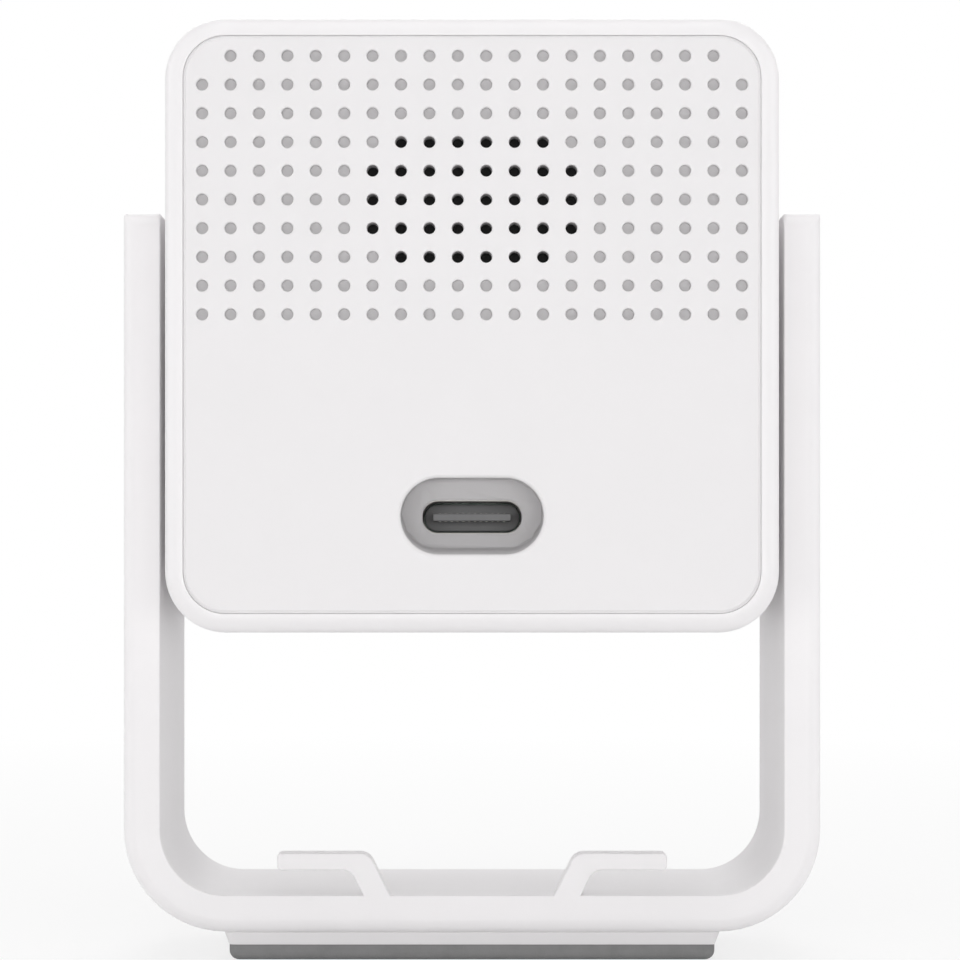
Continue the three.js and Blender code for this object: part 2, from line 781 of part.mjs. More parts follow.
function rearCover() {
  const size = 2 * panelHalf;
  const dimpleFloor = rearFace - dimpleDepth;
  const skin = roundedRectangle(size, size, panelCorner);
  const backing = roundedRectangle(size, size, panelCorner);
  for (const { x, z, open } of dots()) {
    skin.holes.push(regularPath(dotRadius, dotSides, x, z));
    if (open) {
      backing.holes.push(regularPath(dotRadius, dotSides, x, z));
    }
  }
  const blank = extrudedY(roundedRectangle(size, size, panelCorner), coverBack - coverEdgeRound, rearFace, {
    round: coverEdgeRound,
  });
  let solid = extrudedY(backing, coverBack, dimpleFloor).add(extrudedY(skin, dimpleFloor, rearFace));
  solid = solid.intersect(blank);

  const pocket = stadium(socketWidth + 2 * socketWall, socketHeight + 2 * socketWall);
  const port = roundedRectangle(plugWidth, portHeight, plugHeight / 2);
  solid = solid.add(extrudedY(pocket, pocketBack, coverBack, { z: socketMiddle }));
  solid = solid.subtract(socketRecess());
  solid = solid.subtract(extrudedY(port, pocketBack - cutOverrun, socketBottom + cutOverrun, { z: socketMiddle }));

  const rimWidth = speakerWidth + 2 * slipGap;
  const rimHeight = speakerHeight + 2 * slipGap;
  const rimFront = coverBack - speakerRimHeight;
  const rimOuter = stadium(rimWidth + 2 * speakerRimWall, rimHeight + 2 * speakerRimWall);
  const rim = extrudedY(rimOuter, rimFront, coverBack, { z: grilleMiddle }).subtract(
    extrudedY(stadium(rimWidth, rimHeight), rimFront - cutOverrun, coverBack + cutOverrun, { z: grilleMiddle }),
  );
  solid = solid.add(rim);

  const hole = boreRadius(screwRadius + slipGap, screwSides);
  for (const [x, z] of postPlaces) {
    solid = solid.add(rodY(postRadius, postFront, coverBack, { x, z }));
    solid = solid.subtract(
      rodY(hole, postFront - cutOverrun, postFront + screwBite + slipGap, { x, z, sides: screwSides }),
    );
  }
  const standoffFront = boardRear + seatGap;
  for (const [x, z] of standoffPlaces) {
    solid = solid.add(rodY(standoffRadius, standoffFront, coverBack, { x, z }));
    solid = solid.subtract(
      rodY(hole, standoffFront - cutOverrun, standoffFront + screwBite + slipGap, { x, z, sides: screwSides }),
    );
  }
  return solid;
}

function frontWindow() {
  const outline = roundedRectangle(2 * panelHalf, 2 * panelHalf, panelCorner);
  const lensHole = rodY(boreRadius(ringRadius + slipGap, lensSides), frontFace, windowBack + cutOverrun, {
    sides: lensSides,
  });
  const lampHole = rodY(boreRadius(pipeRadius + slipGap), frontFace, windowBack + cutOverrun, { z: signalDrop });
  const soundHole = rodY(soundHoleRadius, frontFace, windowBack + cutOverrun, {
    x: -signalSpacing,
    z: signalDrop,
  });
  return extrudedY(outline, windowFront, windowBack, { round: windowEdgeRound })
    .subtract(lensHole)
    .subtract(lampHole)
    .subtract(soundHole);
}

function windowTape() {
  const outer = 2 * (panelHalf - windowEdgeRound);
  const outline = roundedRectangle(outer, outer, panelCorner - windowEdgeRound);
  outline.holes.push(roundedRectangle(outer - 2 * tapeWidth, outer - 2 * tapeWidth, windowEdgeRound));
  return extrudedY(outline, windowBack + seatGap, frameFront - seatGap, { segments: fewSegments });
}

const ledPlaces = [45, 135, 225, 315].map((degrees) => {
  const angle = THREE.MathUtils.degToRad(degrees);
  return [ledRing * Math.cos(angle), ledRing * Math.sin(angle)];
});

function frontFrame() {
  const outline = roundedRectangle(2 * panelHalf, 2 * panelHalf, panelCorner);
  let solid = extrudedY(outline, frameFront, frameBack, { segments: fewSegments });
  const wallBack = ledBoardFront - seatGap;
  solid = solid.add(rodY(frameWallRadius, frameFront, wallBack, { sides: lensSides }));
  for (const side of [-1, 1]) {
    const x = (side * sensorPostSpacing) / 2;
    const hole = boreRadius(screwRadius + slipGap, screwSides);
    solid = solid.add(rodY(sensorPostRadius, frameFront, sensorPostBack, { x }));
    const holeEnd = sensorPostBack - sensorScrewBite - slipGap;
    solid = solid.subtract(rodY(hole, holeEnd, sensorPostBack + cutOverrun, { x, sides: screwSides }));
  }
  const through = (radius, x, z, sides = rodSides) =>
    rodY(boreRadius(radius, sides), frameFront - cutOverrun, wallBack + cutOverrun, { x, z, sides });
  solid = solid.subtract(through(frameHoleRadius, 0, 0, lensSides));
  solid = solid.subtract(through(pipeRadius + slipGap, 0, signalDrop));
  solid = solid.subtract(through(soundHoleRadius, -signalSpacing, signalDrop));
  solid = solid.subtract(through(lightSensorSize / 2, signalSpacing, signalDrop));
  for (const [x, z] of ledPlaces) {
    solid = solid.subtract(through(ledRadius + 2 * slipGap, x, z));
  }
  for (const [x, z] of postPlaces) {
    const seat = frameFront + screwHeadHeight + 2 * seatGap;
    const headSpace = boreRadius(screwHeadRadius + slipGap);
    solid = solid.subtract(through(screwRadius + slipGap, x, z, screwSides));
    solid = solid.subtract(rodY(headSpace, frameFront - cutOverrun, seat, { x, z }));
  }
  return solid;
}

function lensRing() {
  const front = frontFace + windowRecess - ringProud;
  const back = frameFront - seatGap;
  return turned([
    [ringMouthRadius, back],
    [ringMouthRadius, back - seatGap],
    [ringRadius - ringLipWidth, front],
    [ringRadius - windowEdgeRound, front],
    [ringRadius, front + windowEdgeRound],
    [ringRadius, back],
    [ringMouthRadius, back],
  ], lensSides);
}

// A shallow dome, its rim seated in the front of the barrel
function lensGlass() {
  const seat = barrelFront + glassSeatDepth - seatGap;
  const profile = [[0, barrelFront - glassRise]];
  const steps = 4;
  for (let i = 1; i <= steps; i += 1) {
    const angle = ((Math.PI / 2) * i) / steps;
    profile.push([glassRadius * Math.sin(angle), barrelFront - glassRise * Math.cos(angle)]);
  }
  profile.push([glassRadius, seat], [0, seat]);
  return turned(profile, lensSides);
}

function lensBarrel() {
  const step = holderFront - barrelNeckGap;
  const seat = barrelFront + glassSeatDepth;
  const seatRadius = boreRadius(glassRadius + slipGap, lensSides);
  return turned([
    [seatRadius, barrelFront],
    [barrelRadius, barrelFront],
    [barrelRadius, step],
    [barrelThreadRadius, step],
    [barrelThreadRadius, barrelBack],
    [barrelBoreRadius, barrelBack],
    [barrelBoreRadius, seat],
    [seatRadius, seat],
    [seatRadius, barrelFront],
  ], lensSides);
}

function lightBaffle() {
  const inner = boreRadius(barrelRadius + slipGap, lensSides);
  return ring(inner + baffleWall, inner, frameFront + slipGap, holderFront - baffleGap, lensSides);
}

function lensHolder() {
  const half = holderSize / 2;
  const cavityHalf = holderCavity / 2;
  const ledgeBack = holderBack - sensorThickness - filterThickness - 4 * seatGap;
  const ledgeFront = ledgeBack - holderLedge;
  const threadBore = boreRadius(barrelThreadRadius + slipGap, lensSides);
  return block([-half, half], [holderBaseFront, holderBack], [-half, half])
    .add(rodY(holderNeckRadius, holderFront, holderBaseFront, { sides: lensSides }))
    .subtract(rodY(threadBore, holderFront - cutOverrun, ledgeFront, { sides: lensSides }))
    .subtract(rodY(holderWindowRadius, ledgeFront - cutOverrun, ledgeBack + cutOverrun))
    .subtract(block([-cavityHalf, cavityHalf], [ledgeBack, holderBack + cutOverrun], [-cavityHalf, cavityHalf]));
}

function infraredFilter() {
  const half = filterSize / 2;
  const front = holderBack - sensorThickness - filterThickness - 3 * seatGap;
  return block([-half, half], [front, front + filterThickness], [-half, half]);
}

function imageSensor() {
  const xs = [-sensorWidth / 2, sensorWidth / 2];
  const zs = [-sensorHeight / 2, sensorHeight / 2];
  return block(xs, [sensorBoardFront - seatGap - sensorThickness, sensorBoardFront - seatGap], zs);
}

function sensorBoard() {
  const width = sensorPostSpacing + 2 * sensorPostRadius + 2 * screwRadius;
  const outline = roundedRectangle(width, sensorBoardHeight, boardCorner);
  for (const side of [-1, 1]) {
    const hole = boreRadius(screwRadius + slipGap, screwSides);
    outline.holes.push(regularPath(hole, screwSides, (side * sensorPostSpacing) / 2, 0));
  }
  return extrudedY(outline, sensorBoardFront, sensorBoardBack, { segments: fewSegments });
}

function ledBoard() {
  const outline = roundedRectangle(2 * ledBoardHalf, 2 * ledBoardHalf, boardCorner);
  const lensHole = boreRadius(barrelRadius + slipGap, lensSides) + baffleWall + slipGap;
  outline.holes.push(regularPath(boreRadius(lensHole, lensSides), lensSides, 0, 0));
  for (const side of [-1, 1]) {
    const hole = boreRadius(sensorPostRadius + slipGap);
    outline.holes.push(regularPath(hole, rodSides, (side * sensorPostSpacing) / 2, 0));
  }
  return extrudedY(outline, ledBoardFront, ledBoardBack, { segments: fewSegments });
}

// A lamp with a domed end, standing forward from its foot at zero
function infraredLed() {
  const shoulder = ledRadius - ledHeight;
  const profile = [[0, -ledHeight]];
  const steps = 3;
  for (let i = 1; i <= steps; i += 1) {
    const angle = ((Math.PI / 2) * i) / steps;
    profile.push([ledRadius * Math.sin(angle), shoulder - ledRadius * Math.cos(angle)]);
  }
  profile.push([ledRadius, 0], [0, 0]);
  return turned(profile, screwSides);
}

function flatChip(width, height, thickness) {
  return block([-width / 2, width / 2], [-thickness, 0], [-height / 2, height / 2]);
}

function lightPipe() {
  return rodY(pipeRadius, windowFront, ledBoardFront - statusLedHeight - 2 * seatGap);
}

function mainBoard() {
  const outline = roundedRectangle(2 * boardHalfWidth, 2 * boardHalfHeight, boardCorner);
  for (const [x, z] of standoffPlaces) {
    outline.holes.push(regularPath(boreRadius(screwRadius + slipGap, screwSides), screwSides, x, z));
  }
  return extrudedY(outline, boardFront, boardRear, { segments: fewSegments });
}

// A plate on the thermal pad, with a flange folded forward along each side
function heatSpreader() {
  const half = spreaderWidth / 2;
  const zs = [-spreaderHeight / 2, spreaderHeight / 2];
  let solid = block([-half, half], [-spreaderThickness, 0], zs);
  for (const side of [-1, 1]) {
    const xs = side < 0 ? [-half, spreaderThickness - half] : [half - spreaderThickness, half];
    solid = solid.add(block(xs, [-spreaderThickness - spreaderFlange, 0], zs));
  }
  return solid;
}

function usbShell() {
  const outline = roundedRectangle(plugWidth + 2 * receptacleWall, plugHeight + 2 * receptacleWall, plugHeight / 2);
  outline.holes.push(roundedRectangle(plugWidth, plugHeight, plugHeight / 2));
  const front = pocketBack - receptacleSetback;
  return extrudedY(outline, front - receptacleLength, front);
}

function usbTongue() {
  const front = pocketBack - receptacleSetback;
  const back = front - receptacleLength;
  const base = roundedRectangle(plugWidth - 2 * slipGap, plugHeight - 2 * slipGap, plugHeight / 2 - slipGap);
  const xs = [-tongueWidth / 2, tongueWidth / 2];
  const zs = [-tongueHeight / 2, tongueHeight / 2];
  return extrudedY(base, back, back + tongueBaseLength).add(block(xs, [back, front - tongueSetback], zs));
}

function antenna() {
  const top = innerHalf - slipGap;
  const xs = [-antennaLength / 2, antennaLength / 2];
  return block(xs, [-antennaWidth / 2, antennaWidth / 2], [top - antennaThickness, top]);
}

// A flat ribbon from the back of the sensor board, down and over to the main board
function cameraRibbon() {
  const start = sensorBoardBack + seatGap;
  const end = boardFront - seatGap;
  const high = ribbonStartInset - sensorBoardHeight / 2;
  const low = switchBottom + switchHeight + ribbonSwitchGap;
  const path = new THREE.CatmullRomCurve3([
    new THREE.Vector3(0, start, high),
    new THREE.Vector3(0, start + ribbonRun, high),
    new THREE.Vector3(0, (start + end) / 2, (high + low) / 2),
    new THREE.Vector3(0, end - ribbonRun, low),
    new THREE.Vector3(0, end, low),
  ]);
  const half = ribbonWidth / 2;
  const section = new THREE.Shape();
  section.moveTo(-half, -ribbonThickness / 2);
  section.lineTo(half, -ribbonThickness / 2);
  section.lineTo(half, ribbonThickness / 2);
  section.lineTo(-half, ribbonThickness / 2);
  return solidOf(new THREE.ExtrudeGeometry(section, { steps: ribbonSteps, extrudePath: path }));
}

// Loudspeaker pieces are written from the middle of the grille

function grilleCloth() {
  const outline = stadium(grilleWidth + 2 * clothMargin, grilleHeight + 2 * clothMargin);
  return extrudedY(outline, clothFront - clothThickness, clothFront);
}

function speakerFrame() {
  const inner = stadium(speakerWidth - 2 * speakerWall, speakerHeight - 2 * speakerWall);
  const magnetHole = rodY(boreRadius(magnetRadius + slipGap), speakerRear - cutOverrun, speakerFront);
  return extrudedY(stadium(speakerWidth, speakerHeight), speakerRear, speakerFront)
    .subtract(extrudedY(inner, speakerRear + speakerBack, speakerFront + cutOverrun))
    .subtract(magnetHole);
}

// A thin dish with a domed cap, turned round and then drawn out to the frame's width
function speakerCone() {
  const rim = speakerHeight / 2 - speakerWall - slipGap;
  const front = speakerFront - coneThickness;
  const back = front - coneDepth;
  const geometry = new THREE.LatheGeometry([
    [0, back + coneCapHeight - coneThickness],
    [coneCapRadius, back - coneThickness],
    [rim, front - coneThickness],
    [rim, front],
    [coneCapRadius, back],
    [0, back + coneCapHeight],
  ].map(([radius, along]) => new THREE.Vector2(radius, along)), lensSides);
  geometry.scale((speakerWidth / 2 - speakerWall - slipGap) / rim, 1, 1);
  return solidOf(geometry);
}

function speakerMagnet() {
  const back = speakerRear - magnetLength + speakerBack + seatGap;
  return rodY(magnetRadius, back, back + magnetLength);
}

function resetSwitch() {
  const ys = [switchMiddle - switchDepth / 2, switchMiddle + switchDepth / 2];
  const bore = rodZ(boreRadius(plungerRadius + runningGap), switchBottom - cutOverrun, switchBottom + switchHeight / 2, {
    y: switchMiddle,
  });
  return block([-switchWidth / 2, switchWidth / 2], ys, [switchBottom, switchBottom + switchHeight]).subtract(bore);
}

// Reset button, written from the head's centre

function resetButton() {
  const stem = rodZ(buttonRadius, buttonBottom, buttonTop, { y: switchMiddle });
  const flangeFrom = buttonTop - buttonFlangeHeight;
  return stem.add(rodZ(buttonRadius + buttonFlange, flangeFrom, buttonTop, { y: switchMiddle }));
}

function resetPlunger() {
  const from = buttonTop + seatGap;
  const to = Math.min(from + plungerLength, switchBottom + switchHeight / 2 - buttonTravel - runningGap);
  return rodZ(plungerRadius, from, to, { y: switchMiddle });
}

function cameraPieces() {
  const group = new THREE.Group();
  group.add(piece('lens_ring', lensRing(), blackGloss));
  group.add(piece('light_baffle', lightBaffle(), blackFoam));
  group.add(piece('lens_glass', lensGlass(), glass));
  group.add(piece('lens_barrel', lensBarrel(), blackPlastic));
  group.add(piece('lens_holder', lensHolder(), blackPlastic));
  group.add(piece('infrared_filter', infraredFilter(), filterGlass));
  group.add(piece('image_sensor', imageSensor(), chipBlack));
  group.add(piece('sensor_board', sensorBoard(), greenBoard));
  for (const [side, label] of [[-1, 'left'], [1, 'right']]) {
    const place = [(side * sensorPostSpacing) / 2, sensorBoardBack + seatGap, 0];
    const screw = panScrew(sensorBoardThickness + sensorScrewBite);
    group.add(piece(`sensor_screw_${label}`, screw, steel, place, [0, 0, Math.PI]));
  }
  return group;
}

function ledBoardPieces() {
  const group = new THREE.Group();
  const face = ledBoardFront - seatGap;
  group.add(piece('led_board', ledBoard(), greenBoard));
  ledPlaces.forEach(([x, z], i) => {
    group.add(piece(`infrared_led_${i + 1}`, infraredLed(), clearPlastic, [x, face, z]));
  });
  const lightSensor = flatChip(lightSensorSize, lightSensorSize, lightSensorHeight);
  const statusLed = flatChip(statusLedSize, statusLedSize, statusLedHeight);
  const microphone = flatChip(microphoneWidth, microphoneHeight, microphoneThickness);
  group.add(piece('light_sensor', lightSensor, clearPlastic, [signalSpacing, face, signalDrop]));
  group.add(piece('status_led', statusLed, clearPlastic, [0, face, signalDrop]));
  group.add(piece('microphone', microphone, nickel, [-signalSpacing, face, signalDrop]));
  group.add(piece('light_pipe', lightPipe(), clearPlastic, [0, 0, signalDrop]));
  return group;
}

function mainBoardPieces() {
  const group = new THREE.Group();
  const face = boardFront - seatGap;
  group.add(piece('main_board', mainBoard(), greenBoard));
  const screwPlaceY = boardFront - seatGap;
  const screwLength = boardThickness + seatGap + screwBite;
  standoffPlaces.forEach(([x, z], i) => {
    group.add(piece(`main_board_screw_${i + 1}`, panScrew(screwLength), steel, [x, screwPlaceY, z]));
  });
  group.add(piece('processor', flatChip(processorSize, processorSize, processorThickness), chipBlack, [0, face, 0]));
  const padFace = face - processorThickness - seatGap;
  group.add(piece('thermal_pad', flatChip(padSize, padSize, padThickness), greyPad, [0, padFace, 0]));
  group.add(piece('heat_spreader', heatSpreader(), aluminium, [0, padFace - padThickness - seatGap, 0]));
  const shieldPlace = [0, face, boardHalfHeight - shieldInset - shieldHeight / 2];
  group.add(piece('radio_shield', flatChip(shieldWidth, shieldHeight, shieldThickness), nickel, shieldPlace));
  group.add(piece('antenna', antenna(), amberFilm));
  group.add(piece('usb_shell', usbShell(), nickel, [0, 0, socketMiddle]));
  group.add(piece('usb_tongue', usbTongue(), darkGreyPlastic, [0, 0, socketMiddle]));
  group.add(piece('reset_switch', resetSwitch(), chipBlack));
  group.add(piece('camera_ribbon', cameraRibbon(), amberFilm));
  return group;
}

function speakerPieces() {
  const group = new THREE.Group();
  group.position.z = grilleMiddle;
  group.add(piece('grille_cloth', grilleCloth(), blackFoam));
  group.add(piece('speaker_frame', speakerFrame(), blackPlastic));
  group.add(piece('speaker_cone', speakerCone(), paperCone));
  group.add(piece('speaker_magnet', speakerMagnet(), nickel));
  return group;
}

function headPieces() {
  const group = new THREE.Group();
  group.position.z = tiltAxisHeight;
  group.add(piece('housing', housing(), whitePlastic));
  group.add(piece('rear_cover', rearCover(), whitePlastic));
  group.add(piece('front_window', frontWindow(), blackGloss));
  group.add(piece('window_tape', windowTape(), blackFoam));
  group.add(piece('front_frame', frontFrame(), blackPlastic));
  const screwSeat = frameFront + screwHeadHeight + seatGap;
  const screwLength = postFront + screwBite - screwSeat;
  postPlaces.forEach(([x, z], i) => {
    group.add(piece(`housing_screw_${i + 1}`, panScrew(screwLength), steel, [x, screwSeat, z]));
  });
  group.add(cameraPieces());
  group.add(ledBoardPieces());
  group.add(mainBoardPieces());
  group.add(speakerPieces());
  const button = new THREE.Group();
  button.add(piece('reset_button', resetButton(), greyPlastic));
  button.add(piece('reset_plunger', resetPlunger(), blackPlastic));
  group.add(button);
  return group;
}

const group = new THREE.Group();
group.add(standPieces());
group.add(headPieces());

export default group;
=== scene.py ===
"""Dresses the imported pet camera: head shell, rear panel, window, lens, stand and foot, in their finishes."""

import json
import math

import bmesh
import bpy
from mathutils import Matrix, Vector

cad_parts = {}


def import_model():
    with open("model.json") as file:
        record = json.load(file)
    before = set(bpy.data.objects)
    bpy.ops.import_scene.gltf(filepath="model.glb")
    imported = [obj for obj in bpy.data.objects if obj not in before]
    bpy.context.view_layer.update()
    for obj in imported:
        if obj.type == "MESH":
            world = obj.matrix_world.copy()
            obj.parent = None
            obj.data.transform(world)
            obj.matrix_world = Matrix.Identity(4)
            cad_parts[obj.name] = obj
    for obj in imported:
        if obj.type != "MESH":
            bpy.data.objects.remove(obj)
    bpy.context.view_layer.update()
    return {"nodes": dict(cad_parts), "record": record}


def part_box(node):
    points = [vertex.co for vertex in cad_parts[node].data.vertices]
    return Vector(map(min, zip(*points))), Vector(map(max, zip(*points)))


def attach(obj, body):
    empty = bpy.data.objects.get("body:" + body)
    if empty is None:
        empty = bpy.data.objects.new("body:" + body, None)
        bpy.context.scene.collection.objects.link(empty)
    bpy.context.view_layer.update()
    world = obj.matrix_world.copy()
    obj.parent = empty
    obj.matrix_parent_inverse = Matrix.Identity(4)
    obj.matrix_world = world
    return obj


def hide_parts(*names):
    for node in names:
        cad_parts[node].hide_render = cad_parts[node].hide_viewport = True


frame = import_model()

MM = 0.001  # sizes are in millimetres, up to the section on the room, lights and camera


def box(node):
    """The lowest and highest corner of a CAD node, in millimetres."""
    low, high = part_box(node)
    return low / MM, high / MM


# Fineness
CORNER_STEPS = 14
RIM_STEPS = 6
LIP_STEPS = 3
TURNED_SIDES = 64
RING_SIDES = 96
DOT_SIDES = 16
SHARP_ANGLE = 32  # edges that bend by more degrees than this stay sharp
MERGE = 0.0005  # points closer than this are one

# Clearances
SEAT_GAP = 0.05  # between pieces that rest on each other, as in the CAD part
CLEAR_OF_CAD = 0.02  # between a new face and the CAD face that it would otherwise coincide with
OVERRUN = 0.5  # how far a cutting shape runs past the face that it opens

# Head
HEAD_LOW, HEAD_HIGH = box("housing")
HEAD_HALF = HEAD_HIGH.x
HEAD_MIDDLE = (HEAD_LOW.z + HEAD_HIGH.z) / 2
FRONT_FACE = HEAD_LOW.y
REAR_FACE = HEAD_HIGH.y
HEAD_CORNER = 5.1
HEAD_EDGE_ROUND = 1.4
SHELL_WALL = 2
RIM_WALL = 1.6
RIM_LIP_ROUND = 0.1
LEDGE_ROUND = 0.15
LED_BOARD_STANDOFF = 1.2
FRAME_BACK = box("led_board")[0].y - LED_BOARD_STANDOFF
PIVOT_AXIS = (0, HEAD_MIDDLE)
PIVOT_HOLE = 2.15
PIVOT_HOLE_CHAMFER = 0.2
BUTTON_HOLE = 1.75
BUTTON_HOLE_CHAMFER = 0.25

# Rear panel
PANEL_HALF = box("rear_cover")[1].x
PANEL_CORNER = 3.35
PANEL_BACK = box("grille_cloth")[1].y + SEAT_GAP
PANEL_EDGE_ROUND = 0.18
PANEL_EDGE_STEPS = 12
GROOVE_DEPTH = 0.12
PANEL_SKIRT = 0.12  # how far the panel's skirt reaches into the groove round it
DOT_COLUMNS = 20
DOT_ROWS = 10
DOT_RADIUS = 0.5
DOT_INSET = 1.45  # from the panel's sides to the middle of the outer dots
DOT_TOP_INSET = 1.55  # from the panel's upper edge to the middle of the first row
DOT_FIELD_HEIGHT = 21.5
DOT_DEPTH = 0.6
GRILLE_ROW = 5.0  # the row in the middle of the open dots
GRILLE_HALF_ROWS = 2.5  # the open dots lie within this many rows of that one
GRILLE_HALF_COLUMNS = 3.75  # and within this many columns of the panel's middle
DOT_DRAFT = 0.04
DOT_LIP = 0.09
LIP_TURN = 80  # degrees that a lip turns before it meets the face
SHADE_PAINT_FROM = 0.25  # the depth from which the panel's dots and socket have a duller surface and painted shade
PAINTED_SHADE_SHARE = 0.74  # how light the painted shade inside the dots and socket is beside the panel's face
SOCKET_WIDTH = 11.9
SOCKET_HEIGHT = 6.4
SOCKET_RISE = 7.95  # from the panel's lower edge to the middle of the socket
SOCKET_DEPTH = 4.4
SOCKET_SLOPE = 0.6  # how much the lower wall climbs towards the floor
SOCKET_FLOOR = 0.9
SOCKET_LIP = 0.28
SOCKET_END_SHARE = 0.999  # of half its height, so that the two arcs of an end stay apart
SOCKET_FLOOR_ROUND = 0.35
SOCKET_MIDDLE = HEAD_MIDDLE - PANEL_HALF + SOCKET_RISE
SOCKET_BOTTOM = REAR_FACE - SOCKET_DEPTH

# Cable socket
USB_LOW, USB_HIGH = box("usb_shell")
TONGUE_LOW, TONGUE_HIGH = box("usb_tongue")
PLUG_WIDTH = 8.34
PLUG_HEIGHT = 2.56
PORT_HEIGHT = 2.8
PORT_LIP = 0.12
USB_EDGE_ROUND = 0.12
TONGUE_WIDTH = 6.69
TONGUE_HEIGHT = 0.7
TONGUE_BASE_LENGTH = 2
TONGUE_EDGE_ROUND = 0.12
CONTACTS = 12
CONTACT_PITCH = 0.5
CONTACT_WIDTH = 0.22
CONTACT_LENGTH = 3.9
CONTACT_PROUD = 0.02
CONTACT_SETBACK = 0.6  # from the tongue's tip

# Front window
WINDOW_LOW, WINDOW_HIGH = box("front_window")
WINDOW_EDGE_ROUND = 0.3
WINDOW_CHAMFER = 0.1
RING_HOLE = 8.9
PIPE_HOLE = 0.9
SOUND_HOLE = 0.5
SOUND_HOLE_X = -6
MESH_THICKNESS = 0.1
MESH_DEPTH = 0.4  # from the window's rear to the mesh's front
LAMP_RING = 13.4  # from the lens axis to each infrared lamp
LAMP_RADIUS = 1.4
LAMP_SHOWS_TO = 0.35  # how far past a lamp its disc shows in full
LAMP_FADES_TO = 0.5  # and where it ends

# Lens
LENS_AXIS = (0, HEAD_MIDDLE)
RING_LOW, RING_HIGH = box("lens_ring")
GLASS_LOW, GLASS_HIGH = box("lens_glass")
BARREL_LOW, BARREL_HIGH = box("lens_barrel")
RING_MOUTH = 5.2
RING_LIP = 0.75
RING_EDGE_ROUND = 0.25
RING_STEPS = 7
RING_STEP_ROUND = 0.02
BARREL_NECK_GAP = 0.55
BARREL_NECK = box("lens_holder")[0].y - BARREL_NECK_GAP
BARREL_THREAD = 5.2
BARREL_SEAT = 4.95
BARREL_BORE = 3
BARREL_STEPS = 3
BARREL_STEP_DEPTH = 1.1
BARREL_EDGE_ROUND = 0.12
HOLLOW_RISE = 0.9
HOLLOW_RIM = 0.5
SECOND_LENS_RISE = 0.75
SECOND_LENS_THICKNESS = 1.7

# Light pipe
PIPE_LOW, PIPE_HIGH = box("light_pipe")
PIPE_EDGE_ROUND = 0.2
PIPE_AXIS = (0, (PIPE_LOW.z + PIPE_HIGH.z) / 2)
SOUND_AXIS = (SOUND_HOLE_X, PIPE_AXIS[1])  # the microphone's hole is level with the pipe

# Small pieces on the pivots and under the head
WASHER_BORE = 2.12
WASHER_EDGE_ROUND = 0.12
KEY_LOW, KEY_HIGH = box("reset_button")
KEY_RADIUS = 1.6
KEY_FLANGE = 0.6
KEY_DISH = 0.22
KEY_DISH_SHARE = 0.75  # of the dish's depth, halfway out from its middle
KEY_EDGE_ROUND = 0.12

# Stand
YOKE_LOW, YOKE_HIGH = box("yoke")
YOKE_WALL = 3.3
YOKE_CORNER = 9
YOKE_OUTER_ROUND = 1.25
YOKE_INNER_ROUND = 0.14
ARM_TOP_ROUND = 1.4
ARM_TIP_ROUND = 0.35
ARM_TIP_SHARE = 0.45  # the most of the arm's thickness that its tip's rounding takes
YOKE_FLOOR = YOKE_LOW.z + YOKE_WALL
ARM_INNER = YOKE_HIGH.x - YOKE_WALL
STUD_BORE = 2.1
HOOK_SPACING = 14.4
HOOK_LEG = 2.35
HOOK_LEAN_SHARE = 0.5
HOOK_HEIGHT = 3.7
HOOK_BAR = 1.5
HOOK_REACH = 9.9
HOOK_DEPTH = 2.6
HOOK_KNEE = 1.3
HOOK_FILLET = 1.1
HOOK_END_ROUND = 0.4
HOOK_EDGE_ROUND = 0.15
HOOK_SINK = 0.3  # how far the hooks start inside the floor

# Foot
PLATE_LOW, PLATE_HIGH = box("foot_plate")
PAD_LOW, PAD_HIGH = box("foot_pad")
FOOT_CORNER = 1
PLATE_DRAFT = 0.5
PLATE_EDGE = 0.1
PAD_EDGE_ROUND = 0.8


# Outlines

def rectangle(width, height, radius, middle=(0, 0)):
    """A rounded rectangle's corners as (a, b, radius), anticlockwise."""
    a, b = width / 2, height / 2
    x, y = middle
    return [(x - a, y - b, radius), (x + a, y - b, radius), (x + a, y + b, radius), (x - a, y + b, radius)]


def drawn_in(corners, distance):
    """An anticlockwise outline with each side moved inwards, and its corner radii following."""
    result = []
    for i, (a, b, radius) in enumerate(corners):
        here = Vector((a, b))
        before = (here - Vector(corners[i - 1][:2])).normalized()
        after = (Vector(corners[(i + 1) % len(corners)][:2]) - here).normalized()
        inwards = Vector((-before.y - after.y, before.x + after.x))
        moved = here + inwards * distance / (1 + before.dot(after))
        turns_left = before.x * after.y - before.y * after.x > 0
        if radius:
            radius = max(radius - distance, SEAT_GAP) if turns_left else radius + distance
        result.append((moved.x, moved.y, radius))
    return result


def rounded(corners, steps=CORNER_STEPS):
    """The corners as points, with an arc at each one that has a radius."""
    points = []
    for i, (a, b, radius) in enumerate(corners):
        here = Vector((a, b))
        if not radius:
            points.append(here)
            continue
        before = (Vector(corners[i - 1][:2]) - here).normalized()
        after = (Vector(corners[(i + 1) % len(corners)][:2]) - here).normalized()
        half = before.angle(after) / 2
        centre = here + (before + after).normalized() * radius / math.sin(half)
        first = here + before * radius / math.tan(half) - centre
        last = here + after * radius / math.tan(half) - centre
        start = math.atan2(first.y, first.x)
        turn = (math.atan2(last.y, last.x) - start + math.pi) % (2 * math.pi) - math.pi
        for k in range(steps + 1):
            angle = start + turn * k / steps
            points.append(centre + radius * Vector((math.cos(angle), math.sin(angle))))
    return points


def rim(face, radius, towards, steps=RIM_STEPS):
    """The (inset, place) levels of a rounded rim that ends at a face and looks towards it."""
    levels = []
    for k in range(steps + 1):
        angle = math.pi / 2 * k / steps
        levels.append((radius * (1 - math.cos(angle)), face - towards * radius * (1 - math.sin(angle))))
    return levels


